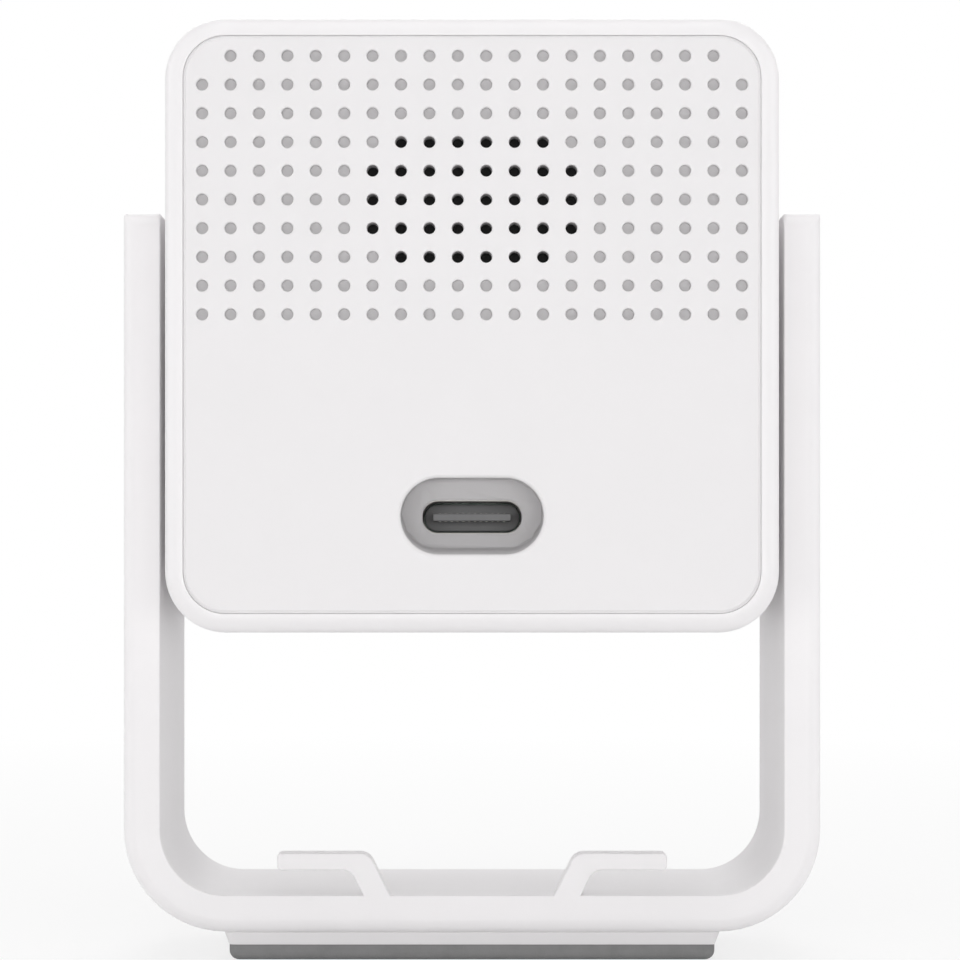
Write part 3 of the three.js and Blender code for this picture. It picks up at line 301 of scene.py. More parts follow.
def both_rims(low, high, low_radius, high_radius):
    return rim(low, low_radius, -1)[::-1] + rim(high, high_radius, 1)


# Meshes

def placed(name, data):
    """A new object in the scene."""
    thing = bpy.data.objects.new(name, data)
    bpy.context.scene.collection.objects.link(thing)
    return thing


def weld(mesh, outwards=False):
    """Merges a mesh's doubles and, where asked, turns its faces outwards."""
    shape = bmesh.new()
    shape.from_mesh(mesh)
    bmesh.ops.remove_doubles(shape, verts=shape.verts, dist=MERGE * MM)
    if outwards:
        bmesh.ops.recalc_face_normals(shape, faces=shape.faces)
    shape.to_mesh(mesh)
    shape.free()


def mesh_piece(name, points, faces):
    """A closed mesh object from points in millimetres, with doubles merged and faces pointing outwards."""
    mesh = bpy.data.meshes.new(name)
    mesh.from_pydata([Vector(point) * MM for point in points], [], faces)
    weld(mesh, outwards=True)
    return placed(name, mesh)


def along(axis, a, b, place):
    """A point from its two outline coordinates and its place along an axis."""
    return {"X": (place, a, b), "Y": (a, place, b), "Z": (a, b, place)}[axis]


def loft(name, rings, closed=False):
    """Rings of equally many points joined in order, with flat ends, or with the last joined to the first."""
    count = len(rings[0])
    points = [point for ring in rings for point in ring]
    faces = []
    for r in range(len(rings) if closed else len(rings) - 1):
        here, there = r * count, (r + 1) % len(rings) * count
        for i in range(count):
            j = (i + 1) % count
            faces.append((here + i, here + j, there + j, there + i))
    if not closed:
        faces.append(tuple(range(count)))
        faces.append(tuple(range(len(points) - count, len(points))))
    return mesh_piece(name, points, faces)


def moulding(name, corners, levels, axis="Y", closed=False, steps=CORNER_STEPS):
    """An outline carried along an axis, drawn in at each (inset, place) level."""
    rings = []
    for inset, place in levels:
        outline = rounded(drawn_in(corners, inset), steps)
        rings.append([along(axis, a, b, place) for a, b in outline])
    return loft(name, rings, closed)


def turned(name, profile, middle=(0, 0), axis="Y", closed=False, sides=TURNED_SIDES):
    """A (radius, place) profile turned about a line along an axis."""
    rings = []
    for radius, place in profile:
        ring = []
        for i in range(sides):
            angle = 2 * math.pi * i / sides
            a, b = middle[0] + radius * math.cos(angle), middle[1] + radius * math.sin(angle)
            ring.append(along(axis, a, b, place))
        rings.append(ring)
    return loft(name, rings, closed)


def hole(radius, chamfer, face, back, middle, axis="Y"):
    """A round cutting tool from past a face to a place behind it, with a chamfer at the face."""
    out = math.copysign(1, face - back)
    profile = [(0, face + out * OVERRUN), (radius + chamfer + OVERRUN, face + out * OVERRUN),
               (radius, face - out * chamfer), (radius, back), (0, back)]
    return turned("hole", profile, middle, axis)


def block(name, low, high):
    middle = ((low[0] + high[0]) / 2, (low[1] + high[1]) / 2)
    corners = rectangle(high[0] - low[0], high[1] - low[1], 0, middle)
    return moulding(name, corners, [(0, low[2]), (0, high[2])], axis="Z")


def settle(piece):
    """Turns an object's modifiers into its mesh."""
    graph = bpy.context.evaluated_depsgraph_get()
    mesh = bpy.data.meshes.new_from_object(piece.evaluated_get(graph), depsgraph=graph)
    piece.modifiers.clear()
    piece.data = mesh


def combine(piece, operation, tool):
    """Joins a tool to a piece, cuts it out or keeps what both hold, and removes the tool."""
    modifier = piece.modifiers.new("combine", "BOOLEAN")
    modifier.operation = operation
    modifier.object = tool
    modifier.solver = "EXACT"
    settle(piece)
    weld(piece.data)
    bpy.data.objects.remove(tool)
    return piece


def cut(piece, tool):
    combine(piece, "DIFFERENCE", tool)


def join(piece, tool):
    combine(piece, "UNION", tool)


def inside_of(node, low, high):
    """What a CAD node holds in a box, such as the posts and ribs inside a shell."""
    mesh = frame["nodes"][node].data.copy()
    weld(mesh)
    return combine(placed(node + "_inside", mesh), "INTERSECT", block("room", low, high))


def smooth(piece):
    """Smooth faces with sharp edges kept, and flats that stay flat."""
    piece.data.shade_smooth()
    piece.data.set_sharp_from_angle(angle=math.radians(SHARP_ANGLE))
    modifier = piece.modifiers.new("normals", "WEIGHTED_NORMAL")
    modifier.keep_sharp = True
    modifier.weight = 100
    settle(piece)


def dress(piece, body, slot, *nodes):
    """Gives a finished piece its finish, and lets it ride on its body in the place of CAD nodes."""
    smooth(piece)
    piece.data.materials.clear()
    piece.data.materials.append(FINISHES[slot])
    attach(piece, body)
    if nodes:
        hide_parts(*nodes)


# Node trees

class Tree:
    """Adds nodes to a tree. Each input is a value or another node's output."""

    def __init__(self, tree):
        self.tree = tree

    def add(self, kind, inputs=None, output=0, **settings):
        node = self.tree.nodes.new(kind)
        for name, value in settings.items():
            setattr(node, name, value)
        for key, value in (inputs or {}).items():
            if isinstance(value, bpy.types.NodeSocket):
                self.tree.links.new(value, node.inputs[key])
            else:
                node.inputs[key].default_value = value
        return node.outputs[output] if len(node.outputs) else node

    def math(self, operation, *values):
        return self.add("ShaderNodeMath", dict(enumerate(values)), operation=operation)

    def split(self, vector):
        """A vector's X, Y and Z."""
        return self.add("ShaderNodeSeparateXYZ", {0: vector}).node.outputs

    def reach(self, across, up):
        """How far off a point is that lies so far across and so far up."""
        squares = [self.math("POWER", side, 2.0) for side in (across, up)]
        return self.math("SQRT", self.math("ADD", *squares))

    def looked_at(self):
        """1 where a camera, gloss or glass looks, and 0 for light that lands elsewhere."""
        path = self.tree.nodes.new("ShaderNodeLightPath").outputs
        seen = self.math("MAXIMUM", path["Is Camera Ray"], path["Is Glossy Ray"])
        return self.math("MAXIMUM", seen, path["Is Transmission Ray"])

    def spread(self, value, low, high, start=0.0, end=1.0):
        """Low to high, as a value goes from start to end, and no further."""
        return self.add("ShaderNodeMapRange", {
            "Value": value, "From Min": start, "From Max": end, "To Min": low, "To Max": high,
        })


def emptied(owner):
    """The node tree of a material or a world, with nothing in it."""
    owner.use_nodes = True
    owner.node_tree.nodes.clear()
    return Tree(owner.node_tree)


def repeating(name, sizes):
    """A new Geometry Nodes tree and its inputs: named sizes, the object that it repeats and its finish."""
    group = bpy.data.node_groups.new(name, "GeometryNodeTree")
    group.interface.new_socket("Geometry", in_out="OUTPUT", socket_type="NodeSocketGeometry")
    inputs = {**sizes, "Pattern": "NodeSocketObject", "Finish": "NodeSocketMaterial"}
    for label, kind in inputs.items():
        group.interface.new_socket(label, in_out="INPUT", socket_type=kind)
    return Tree(group), group.nodes.new("NodeGroupInput").outputs


def repeated_on(tree, given, points):
    """Ends such a tree: its object on every point, as real faces with its finish."""
    pattern = tree.add("GeometryNodeObjectInfo", {"Object": given["Pattern"]}, "Geometry")
    copies = tree.add("GeometryNodeInstanceOnPoints", {"Points": points, "Instance": pattern})
    real = tree.add("GeometryNodeRealizeInstances", {"Geometry": copies})
    made = tree.add("GeometryNodeSetMaterial", {"Geometry": real, "Material": given["Finish"]})
    tree.add("NodeGroupOutput", {"Geometry": made})
    return tree.tree


def dot_field_tree():
    """Geometry Nodes: a tool at each blind dot of the panel, or at each open one."""
    tree, given = repeating("dot_field", {
        "Columns": "NodeSocketInt",
        "Rows": "NodeSocketInt",
        "Width": "NodeSocketFloat",
        "Height": "NodeSocketFloat",
        "Middle": "NodeSocketVector",
        "Open": "NodeSocketBool",
    })
    grid = tree.add("GeometryNodeMeshGrid", {
        "Size X": given["Width"],
        "Size Y": given["Height"],
        "Vertices X": given["Columns"],
        "Vertices Y": given["Rows"],
    }, "Mesh")
    place = tree.split(tree.add("GeometryNodeInputPosition"))
    pitch = tree.math("DIVIDE", given["Width"], tree.math("SUBTRACT", given["Columns"], 1.0))
    row_pitch = tree.math("DIVIDE", given["Height"], tree.math("SUBTRACT", given["Rows"], 1.0))
    # Columns are counted from the middle, and rows from the top
    column = tree.math("ABSOLUTE", tree.math("DIVIDE", place["X"], pitch))
    half_height = tree.math("MULTIPLY", given["Height"], 0.5)
    row = tree.math("DIVIDE", tree.math("SUBTRACT", half_height, place["Y"]), row_pitch)
    # The outer rows of the open dots end one dot sooner at both ends
    from_grille = tree.math("ABSOLUTE", tree.math("SUBTRACT", row, GRILLE_ROW))
    past = tree.math("MAXIMUM", tree.math("SUBTRACT", from_grille, 1.0), 0.0)
    near = tree.math("LESS_THAN", tree.math("ADD", column, past), GRILLE_HALF_COLUMNS)
    grille = tree.math("MULTIPLY", near, tree.math("LESS_THAN", from_grille, GRILLE_HALF_ROWS))
    # The first row of all has no outer dots
    half_columns = tree.math("DIVIDE", given["Columns"], 2.0)
    outer = tree.math("GREATER_THAN", column, tree.math("SUBTRACT", half_columns, 1.0))
    missing = tree.math("MULTIPLY", outer, tree.math("LESS_THAN", row, 0.5))
    other = tree.math("ABSOLUTE", tree.math("SUBTRACT", grille, given["Open"]))
    dropped = tree.math("GREATER_THAN", tree.math("ADD", missing, other), 0.5)
    kept = tree.add("GeometryNodeDeleteGeometry", {"Geometry": grid, "Selection": dropped}, domain="POINT")
    stood = tree.add("GeometryNodeTransform", {
        "Geometry": kept,
        "Rotation": (math.pi / 2, 0, 0),
        "Translation": given["Middle"],
    })
    return repeated_on(tree, given, stood)


def row_tree():
    """Geometry Nodes: a piece repeated in a straight row."""
    tree, given = repeating("row", {
        "Count": "NodeSocketInt",
        "Start": "NodeSocketVector",
        "Step": "NodeSocketVector",
    })
    line = tree.add("GeometryNodeMeshLine", {
        "Count": given["Count"],
        "Start Location": given["Start"],
        "Offset": given["Step"],
    })
    return repeated_on(tree, given, line)


def grown(name, group, pattern, **values):
    """The plain mesh that a Geometry Nodes tree makes from its inputs and the object that it repeats."""
    piece = placed(name, bpy.data.meshes.new(name))
    modifier = piece.modifiers.new(name, "NODES")
    modifier.node_group = group
    values["Pattern"] = pattern
    for item in group.interface.items_tree:
        if item.in_out == "INPUT" and item.name in values:
            modifier[item.identifier] = values[item.name]
    settle(piece)
    bpy.data.objects.remove(pattern)
    return piece


# Finishes, with sizes and depths in millimetres

FLOW_SIZE = 9.0  # across the faint flow marks of moulded plastic
FLOW_SHARE = 0.985  # how light they are beside the rest
GLOSS_SIZE = 2.4  # across its patches of more and less gloss
GLOSS_SPREAD = 0.05
BLEND_FROM, BLEND_WIDTH = 0.3, 0.4  # the part of a factor of 0 to 1 in which tones blend


def tone(red, green, blue):
    """A display colour of 0 to 255 a channel, as Blender's linear colour."""
    linear = []
    for value in (red, green, blue):
        share = value / 255
        linear.append(share / 12.92 if share <= 0.04045 else ((share + 0.055) / 1.055) ** 2.4)
    return (*linear, 1)


class Finish(Tree):
    """A material that starts as a Principled shader and a place in millimetres."""

    def __init__(self, name, colour, roughness, **sockets):
        self.material = bpy.data.materials.new(name)
        self.material.use_nodes = True
        super().__init__(self.material.node_tree)
        self.shader = self.tree.nodes["Principled BSDF"]
        self.shader.inputs["Base Color"].default_value = colour
        self.shader.inputs["Roughness"].default_value = roughness
        for key, value in sockets.items():
            self.shader.inputs[key.replace("_", " ")].default_value = value
        spot = self.add("ShaderNodeTexCoord", output="Object")
        self.place = self.add("ShaderNodeMapping", {"Vector": spot, "Scale": (1 / MM, 1 / MM, 1 / MM)})

    def stretched(self, scale):
        """The place scaled unevenly, for brushed or woven patterns."""
        return self.add("ShaderNodeMapping", {"Vector": self.place, "Scale": scale})

    def noise(self, size, place=None, detail=3.0):
        """Noise of 0 to 1 whose patches are about that many millimetres across."""
        return self.add("ShaderNodeTexNoise", {
            "Vector": place or self.place,
            "Scale": 1 / size,
            "Detail": detail,
        }, "Fac")

    def cells(self, each_mm):
        """How far off the middle of the nearest cell is, with so many cells in each millimetre."""
        return self.add("ShaderNodeTexVoronoi", {"Vector": self.place, "Scale": each_mm}, "Distance")

    def waves(self, distance, pitch):
        """-1 to 1 and back once in each pitch."""
        return self.math("SINE", self.math("MULTIPLY", distance, 2 * math.pi / pitch))

    def mottle(self, factor, *tones):
        """The base colour, blended between tones by a factor."""
        colour = self.tree.nodes.new("ShaderNodeValToRGB")
        stops = colour.color_ramp.elements
        while len(stops) < len(tones):
            stops.new(0.5)
        for i, shade in enumerate(tones):
            stops[i].position = BLEND_FROM + BLEND_WIDTH * i / (len(tones) - 1)
            stops[i].color = shade
        self.tree.links.new(factor, colour.inputs["Fac"])
        self.tree.links.new(colour.outputs["Color"], self.shader.inputs["Base Color"])

    def rough(self, factor, low, high):
        self.tree.links.new(self.spread(factor, low, high), self.shader.inputs["Roughness"])

    def bump(self, height, depth):
        """Relief from a height of 0 to 1 that is worth that depth in millimetres."""
        normal = self.add("ShaderNodeBump", {"Height": height, "Distance": depth * MM})
        self.tree.links.new(normal, self.shader.inputs["Normal"])


def darker(colour, share):
    return (*(value * share for value in colour[:3]), 1)


def moulded(name, colour, roughness, grain=0.11, depth=0.0012, mottling=FLOW_SHARE):
    """Moulded plastic with the fine grain of an eroded mould, and faint flow marks in its colour."""
    made = Finish(name, colour, roughness)
    made.mottle(made.noise(FLOW_SIZE), darker(colour, mottling), colour)
    made.rough(made.noise(GLOSS_SIZE), roughness - GLOSS_SPREAD, roughness + GLOSS_SPREAD)
    made.bump(made.noise(grain), depth)
    return made.material


def panel_white():
    """The panel's plastic: fine grain, and painted shade on a duller surface inside its dots and its socket.
    """
    made = Finish("cover_white", PANEL_WHITE, 0.5)
    face_from = REAR_FACE - SHADE_PAINT_FROM
    face = made.spread(made.split(made.place)["Y"], 0.0, 1.0, start=face_from - DOT_LIP, end=face_from)
    flow = made.spread(made.noise(FLOW_SIZE), low=0.45, high=0.85)
    # the dots and the socket are painted darker inside, as shade
    painted_shade, marks = darker(PANEL_WHITE, PAINTED_SHADE_SHARE), darker(PANEL_WHITE, FLOW_SHARE)
    made.mottle(made.math("MULTIPLY", face, flow), painted_shade, marks, PANEL_WHITE)
    made.rough(face, low=0.75, high=0.5)
    made.bump(made.noise(0.09), depth=0.0015)
    return made.material


def rubber(name, colour):
    """Matt rubber: fine pores, a faint bloom on its surface and a slightly uneven colour."""
    made = Finish(name, colour, 0.85)
    made.mottle(made.noise(1.6), darker(colour, 0.93), colour, darker(colour, 1.04))
    made.rough(made.noise(0.5), low=0.72, high=0.95)
    made.bump(made.noise(0.16, detail=5.0), depth=0.02)
    return made.material


def foam(name, colour):
    """Cellular foam: small open cells, painted darker in their hollows as shade."""
    made = Finish(name, colour, 0.95)
    cells = made.cells(4.0)
    # the cells' middles are painted darker, as shade in their hollows
    made.mottle(cells, darker(colour, 0.4), colour)
    made.bump(cells, depth=0.05)
    return made.material


def window_black():
    """Polished black acrylic with faint wiping marks, and a redder disc over each of the four lamps."""
    black = tone(14, 14, 15)
    made = Finish("window_black", black, 0.05, IOR=1.45)
    wiped = made.noise(3.0, made.stretched((1.0, 1.0, 0.35)))
    made.rough(wiped, low=0.035, high=0.08)
    made.bump(made.noise(14.0, detail=1.0), depth=0.002)
    spot = made.split(made.place)
    lamp_off_axis = LAMP_RING * math.sqrt(0.5)
    across = made.math("SUBTRACT", made.math("ABSOLUTE", spot["X"]), lamp_off_axis)
    height = made.math("SUBTRACT", spot["Z"], HEAD_MIDDLE)
    up = made.math("SUBTRACT", made.math("ABSOLUTE", height), lamp_off_axis)
    past_lamp = made.math("SUBTRACT", made.reach(across, up), LAMP_RADIUS)
    shown = made.spread(past_lamp, 1.0, 0.0, start=LAMP_SHOWS_TO, end=LAMP_FADES_TO)
    made.mottle(shown, black, tone(34, 16, 18))
    return made.material


def ring_black():
    """Satin black, turned on a lathe: fine rings about the lens axis."""
    black = tone(30, 30, 31)
    made = Finish("ring_black", black, 0.3)
    spot = made.split(made.place)
    off_axis = made.reach(spot["X"], made.math("SUBTRACT", spot["Z"], HEAD_MIDDLE))
    rings = made.waves(off_axis, pitch=0.12)
    made.mottle(made.noise(4.0), darker(black, 0.8), black)
    made.rough(made.spread(rings, 0.0, 1.0), low=0.24, high=0.36)
    made.bump(rings, depth=0.0015)
    return made.material


def metal(name, colour, roughness, stretch, size=0.05):
    """Bright metal with drawn or rolled streaks along one way, and a slightly uneven plating."""
    made = Finish(name, colour, roughness, Metallic=1.0)
    streaks = made.noise(size, made.stretched(stretch))
    made.mottle(made.noise(1.5), darker(colour, 0.9), colour)
    made.rough(streaks, roughness * 0.75, roughness * 1.35)
    made.bump(streaks, depth=0.0006)
    return made.material


def cloth(name, colour):
    """Acoustic mesh: threads that cross at right angles, with a hole between each four that is painted near
    black as shade.
    """
    made = Finish(name, colour, 0.8, Sheen_Weight=0.2)
    spot = made.split(made.place)
    both_ways = [made.math("ABSOLUTE", made.waves(spot[way], pitch=0.28)) for way in ("X", "Z")]
    threads = made.math("MAXIMUM", *both_ways)
    # the holes between the threads are painted near black, as shade
    made.mottle(threads, tone(3, 3, 3), colour)
    made.bump(threads, depth=0.03)
    return made.material


def paper(name, colour):
    """Coated paper: short fibres pressed flat."""
    made = Finish(name, colour, 0.7)
    fibres = made.noise(0.3, made.stretched((1.0, 0.4, 0.25)), detail=6.0)
    made.mottle(fibres, darker(colour, 0.6), colour)
    made.rough(fibres, low=0.6, high=0.8)
    made.bump(fibres, depth=0.02)
    return made.material


def glass(name, colour, **sockets):
    """Clear coated glass with a trace of dust in its gloss."""
    made = Finish(name, colour, 0.0, Transmission_Weight=1.0, **sockets)
    made.rough(made.noise(1.2, detail=6.0), low=0.0, high=0.025)
    made.mottle(made.noise(6.0), darker(colour, 0.97), colour)
    return made.material


def board_green():
    """Solder resist over copper tracks, with patches of more and less gloss."""
    green = tone(22, 88, 60)
    made = Finish("board_green", green, 0.35, Coat_Weight=0.4, Coat_Roughness=0.15)
    tracks = made.add("ShaderNodeTexBrick", {
        "Vector": made.place,
        "Scale": 0.55,
        "Mortar Size": 0.06,
        "Color1": (1, 1, 1, 1),
        "Color2": (0.85, 0.85, 0.85, 1),
        "Mortar": (0, 0, 0, 1),
    }, "Color")
    made.mottle(tracks, tone(36, 118, 80), green)
    made.rough(made.cells(0.45), low=0.2, high=0.45)
    made.bump(tracks, depth=0.03)
    return made.material


def film_amber():
    """Amber film over copper lines."""
    amber = tone(190, 128, 52)
    made = Finish("film_amber", amber, 0.3, Coat_Weight=0.5, Coat_Roughness=0.08)
    lines = made.waves(made.split(made.place)["X"], pitch=0.8)
    made.mottle(made.spread(lines, 0.0, 1.0), tone(150, 84, 30), amber)
    made.bump(lines, depth=0.01)
    return made.material


WHITE = tone(241, 239, 240)
PANEL_WHITE = tone(234, 232, 233)
FINISHES = {
    "stand_white": moulded("stand_white", WHITE, 0.42),
    "shell_white": moulded("shell_white", WHITE, 0.44),
    "cover_white": panel_white(),
    "foot_grey": moulded("foot_grey", tone(235, 233, 234), 0.5),
    "foot_rubber": rubber("foot_rubber", tone(130, 130, 130)),
    "window_black": window_black(),
    "ring_black": ring_black(),
    "inner_black": moulded("inner_black", tone(27, 27, 28), 0.55, grain=0.2, depth=0.004, mottling=0.8),
    "tongue_grey": moulded("tongue_grey", tone(126, 126, 127), 0.5),
    "button_grey": moulded("button_grey", tone(196, 196, 197), 0.5),
    "washer_plastic": moulded("washer_plastic", tone(228, 226, 220), 0.4),
    "foam_black": foam("foam_black", tone(24, 24, 24)),
    "cloth_black": cloth("cloth_black", tone(26, 26, 26)),
    "cone_paper": paper("cone_paper", tone(44, 44, 45)),
    "lens_glass": glass("lens_glass", tone(206, 214, 236), IOR=1.5, Specular_Tint=(0.3, 0.38, 0.95, 1)),
    "filter_glass": glass("filter_glass", tone(150, 205, 200), IOR=1.52),
    "clear_plastic": glass("clear_plastic", tone(226, 236, 242), IOR=1.5),
    "board_green": board_green(),
    "chip_black": moulded("chip_black", tone(34, 35, 37), 0.45, grain=0.15, depth=0.003, mottling=0.85),
    "film_amber": film_amber(),
    "thermal_grey": rubber("thermal_grey", tone(141, 147, 153)),
    "spreader_aluminium": metal("spreader_aluminium", tone(198, 200, 202), 0.38, (1.0, 1.0, 0.05)),
    "bright_metal": metal("bright_metal", tone(190, 188, 184), 0.28, (1.0, 0.06, 1.0)),
    "screw_steel": metal("screw_steel", tone(186, 188, 190), 0.3, (1.0, 1.0, 1.0), size=0.2),
}

for part in frame["record"]["subparts"]:
    node = frame["nodes"][part["node"]]
    node.data.materials.clear()
    node.data.materials.append(FINISHES[part["material_slot"]])


# Stand

def yoke_ring(place):
    """The U seen from behind, drawn in near its rims and lowered at the arms' front and rear corners."""
    past = abs(place) - YOKE_HIGH.y

    def fall(radius):
        over = max(past + radius, 0)
        return radius - math.sqrt(radius * radius - over * over)

    half = YOKE_HIGH.x - fall(YOKE_OUTER_ROUND)
    base = YOKE_LOW.z + fall(YOKE_OUTER_ROUND)
    inside = ARM_INNER + fall(YOKE_INNER_ROUND)
    floor = YOKE_FLOOR - fall(YOKE_INNER_ROUND)
    top = YOKE_HIGH.z - fall(ARM_TOP_ROUND)
    outer_corner = YOKE_CORNER - fall(YOKE_OUTER_ROUND)
    inner_corner = YOKE_CORNER - YOKE_WALL + fall(YOKE_INNER_ROUND)
    tip = min(ARM_TIP_ROUND, (half - inside) * ARM_TIP_SHARE)
    return rounded([
        (-half, top, tip), (-half, base, outer_corner), (half, base, outer_corner), (half, top, tip),
        (inside, top, tip), (inside, floor, inner_corner), (-inside, floor, inner_corner), (-inside, top, tip),
    ])


def yoke_places():
    """Places along Y, closer together towards both rims."""
    steps = 2 * RIM_STEPS
    near = [YOKE_HIGH.y - ARM_TOP_ROUND * (1 - math.sin(math.pi / 2 * k / steps)) for k in range(steps + 1)]
    return [-place for place in reversed(near)] + near


def hook_outline(side):
    """One cable hook seen from behind, from inside the floor up to the end of its bar."""
    def leg(height):
        return HOOK_SPACING / 2 + HOOK_LEAN_SHARE * height

    under = HOOK_HEIGHT - HOOK_BAR
    end = HOOK_SPACING / 2 + HOOK_REACH
    corners = [
        (leg(-HOOK_SINK), YOKE_FLOOR - HOOK_SINK, 0),
        (leg(-HOOK_SINK) + HOOK_LEG, YOKE_FLOOR - HOOK_SINK, 0),
        (leg(under) + HOOK_LEG, YOKE_FLOOR + under, HOOK_FILLET),
        (end, YOKE_FLOOR + under, HOOK_END_ROUND),
        (end, YOKE_FLOOR + HOOK_HEIGHT, HOOK_END_ROUND),
        (leg(HOOK_HEIGHT), YOKE_FLOOR + HOOK_HEIGHT, HOOK_KNEE),
    ]
    return corners if side > 0 else [(-a, b, radius) for a, b, radius in reversed(corners)]


def yoke():
    rings = [[along("Y", a, b, place) for a, b in yoke_ring(place)] for place in yoke_places()]
    piece = loft("yoke_moulding", rings)
    for side in (-1, 1):
        levels = both_rims(YOKE_HIGH.y - HOOK_DEPTH, YOKE_HIGH.y, HOOK_EDGE_ROUND, HOOK_EDGE_ROUND)
        join(piece, moulding("hook", hook_outline(side), levels))
        stud_low, stud_high = box("pivot_stud_left" if side < 0 else "pivot_stud_right")
        end = side * (max(-stud_low.x, stud_high.x) + 2 * SEAT_GAP)
        cut(piece, hole(STUD_BORE, 0, side * ARM_INNER, end, PIVOT_AXIS, "X"))
    dress(piece, "stand", "stand_white", "yoke")


def foot():
    length, depth = PLATE_HIGH.x - PLATE_LOW.x, PLATE_HIGH.y - PLATE_LOW.y
    top = PLATE_HIGH.z
    levels = [(PLATE_DRAFT, PLATE_LOW.z), (PLATE_EDGE, top - PLATE_EDGE), (2 * PLATE_EDGE, top)]
    plate = moulding("foot_plate_moulding", rectangle(length, depth, FOOT_CORNER), levels, "Z")
    dress(plate, "stand", "foot_grey", "foot_plate")
    length, depth = PAD_HIGH.x - PAD_LOW.x, PAD_HIGH.y - PAD_LOW.y
    levels = both_rims(PAD_LOW.z, PAD_HIGH.z, PAD_EDGE_ROUND, 2 * SEAT_GAP)
    pad = moulding("foot_pad_rubber", rectangle(length, depth, FOOT_CORNER), levels, "Z")
    dress(pad, "stand", "foot_rubber", "foot_pad")


# Head

def shell_outline(grow):
    side = 2 * (HEAD_HALF + grow)
    return rectangle(side, side, HEAD_CORNER + grow, LENS_AXIS)


def housing():
    """The head's sleeve: one wall profile carried round a rounded square."""
    rebate, bore = -RIM_WALL, CLEAR_OF_CAD - SHELL_WALL
    profile = rounded([
        (0, FRONT_FACE, HEAD_EDGE_ROUND), (0, REAR_FACE, HEAD_EDGE_ROUND),
        (rebate, REAR_FACE, RIM_LIP_ROUND), (rebate, PANEL_BACK, LEDGE_ROUND),
        (bore, PANEL_BACK, LEDGE_ROUND), (bore, FRAME_BACK, LEDGE_ROUND),
        (rebate, FRAME_BACK, LEDGE_ROUND), (rebate, FRONT_FACE, RIM_LIP_ROUND),
    ], 2 * RIM_STEPS)
    rings = []
    for grow, place in profile:
        rings.append([along("Y", a, b, place) for a, b in rounded(shell_outline(grow))])
    piece = loft("head_shell", rings, closed=True)
    room = HEAD_HALF - SHELL_WALL + 2 * SEAT_GAP
    low = (-room, FRAME_BACK, HEAD_MIDDLE - room)
    high = (room, PANEL_BACK - SEAT_GAP, HEAD_MIDDLE + room)
    join(piece, inside_of("housing", low, high))
    inside = HEAD_HALF - SHELL_WALL - OVERRUN
    for side in (-1, 1):
        cut(piece, hole(PIVOT_HOLE, PIVOT_HOLE_CHAMFER, side * HEAD_HALF, side * inside, PIVOT_AXIS, "X"))
    key = (0, (KEY_LOW.y + KEY_HIGH.y) / 2)
    cut(piece, hole(BUTTON_HOLE, BUTTON_HOLE_CHAMFER, HEAD_LOW.z, HEAD_MIDDLE - inside, key, "Z"))
    dress(piece, "head", "shell_white", "housing")


def lip_levels(size):
    """A softened mouth as (spread, height) levels, from its wall up to just past the face."""
    levels = []
    for k in range(LIP_STEPS + 1):
        angle = math.radians(LIP_TURN) * k / LIP_STEPS
        levels.append((size * (1 - math.cos(angle)), size * (math.sin(angle) - 1)))
    return [*levels, (size + SEAT_GAP, SEAT_GAP)]


def dot_tool(bottom):
    """The hole that a dot leaves, with a softened lip, written about the panel's face."""
    lip = [(DOT_RADIUS + spread, height) for spread, height in lip_levels(DOT_LIP)]
    profile = [(0, bottom), (DOT_RADIUS - DOT_DRAFT, bottom), *lip, (0, SEAT_GAP)]
    return turned("dot_tool", profile, sides=DOT_SIDES)


def dot_holes(tree, name, bottom, is_open):
    tool = dot_tool(bottom)
    width = 2 * (PANEL_HALF - DOT_INSET)
    middle = Vector((0, REAR_FACE, HEAD_MIDDLE + PANEL_HALF - DOT_TOP_INSET - DOT_FIELD_HEIGHT / 2)) * MM
    return grown(name, tree, tool, Columns=DOT_COLUMNS, Rows=DOT_ROWS, Width=width * MM,
                 Height=DOT_FIELD_HEIGHT * MM, Middle=middle, Open=is_open, Finish=FINISHES["cover_white"])


def socket_ring(grow, depth):
    """The socket recess at a depth, its lower wall climbing towards the floor."""
    climb = SOCKET_SLOPE * max(depth, 0) / SOCKET_DEPTH
    height = SOCKET_HEIGHT - climb + 2 * grow
    end_round = height / 2 * SOCKET_END_SHARE
    corners = rectangle(SOCKET_WIDTH + 2 * grow, height, end_round, (0, SOCKET_MIDDLE + climb / 2))
    return [along("Y", a, b, REAR_FACE - depth) for a, b in rounded(corners)]


def socket_tool():
    floor = [(-inset, depth) for inset, depth in rim(SOCKET_DEPTH, SOCKET_FLOOR_ROUND, 1)]
    lip = [(spread, -height) for spread, height in lip_levels(SOCKET_LIP)]
    return loft("socket_tool", [socket_ring(grow, depth) for grow, depth in [*reversed(floor), *lip]])


def port_tool():
    corners = rectangle(PLUG_WIDTH, PORT_HEIGHT, PLUG_HEIGHT / 2, (0, SOCKET_MIDDLE))
    levels = [
        (-CLEAR_OF_CAD, SOCKET_BOTTOM - SOCKET_FLOOR - OVERRUN), (-CLEAR_OF_CAD, SOCKET_BOTTOM - PORT_LIP),
        (-PORT_LIP, SOCKET_BOTTOM), (-PORT_LIP, SOCKET_BOTTOM + PORT_LIP),
    ]
    return moulding("port_tool", corners, levels)


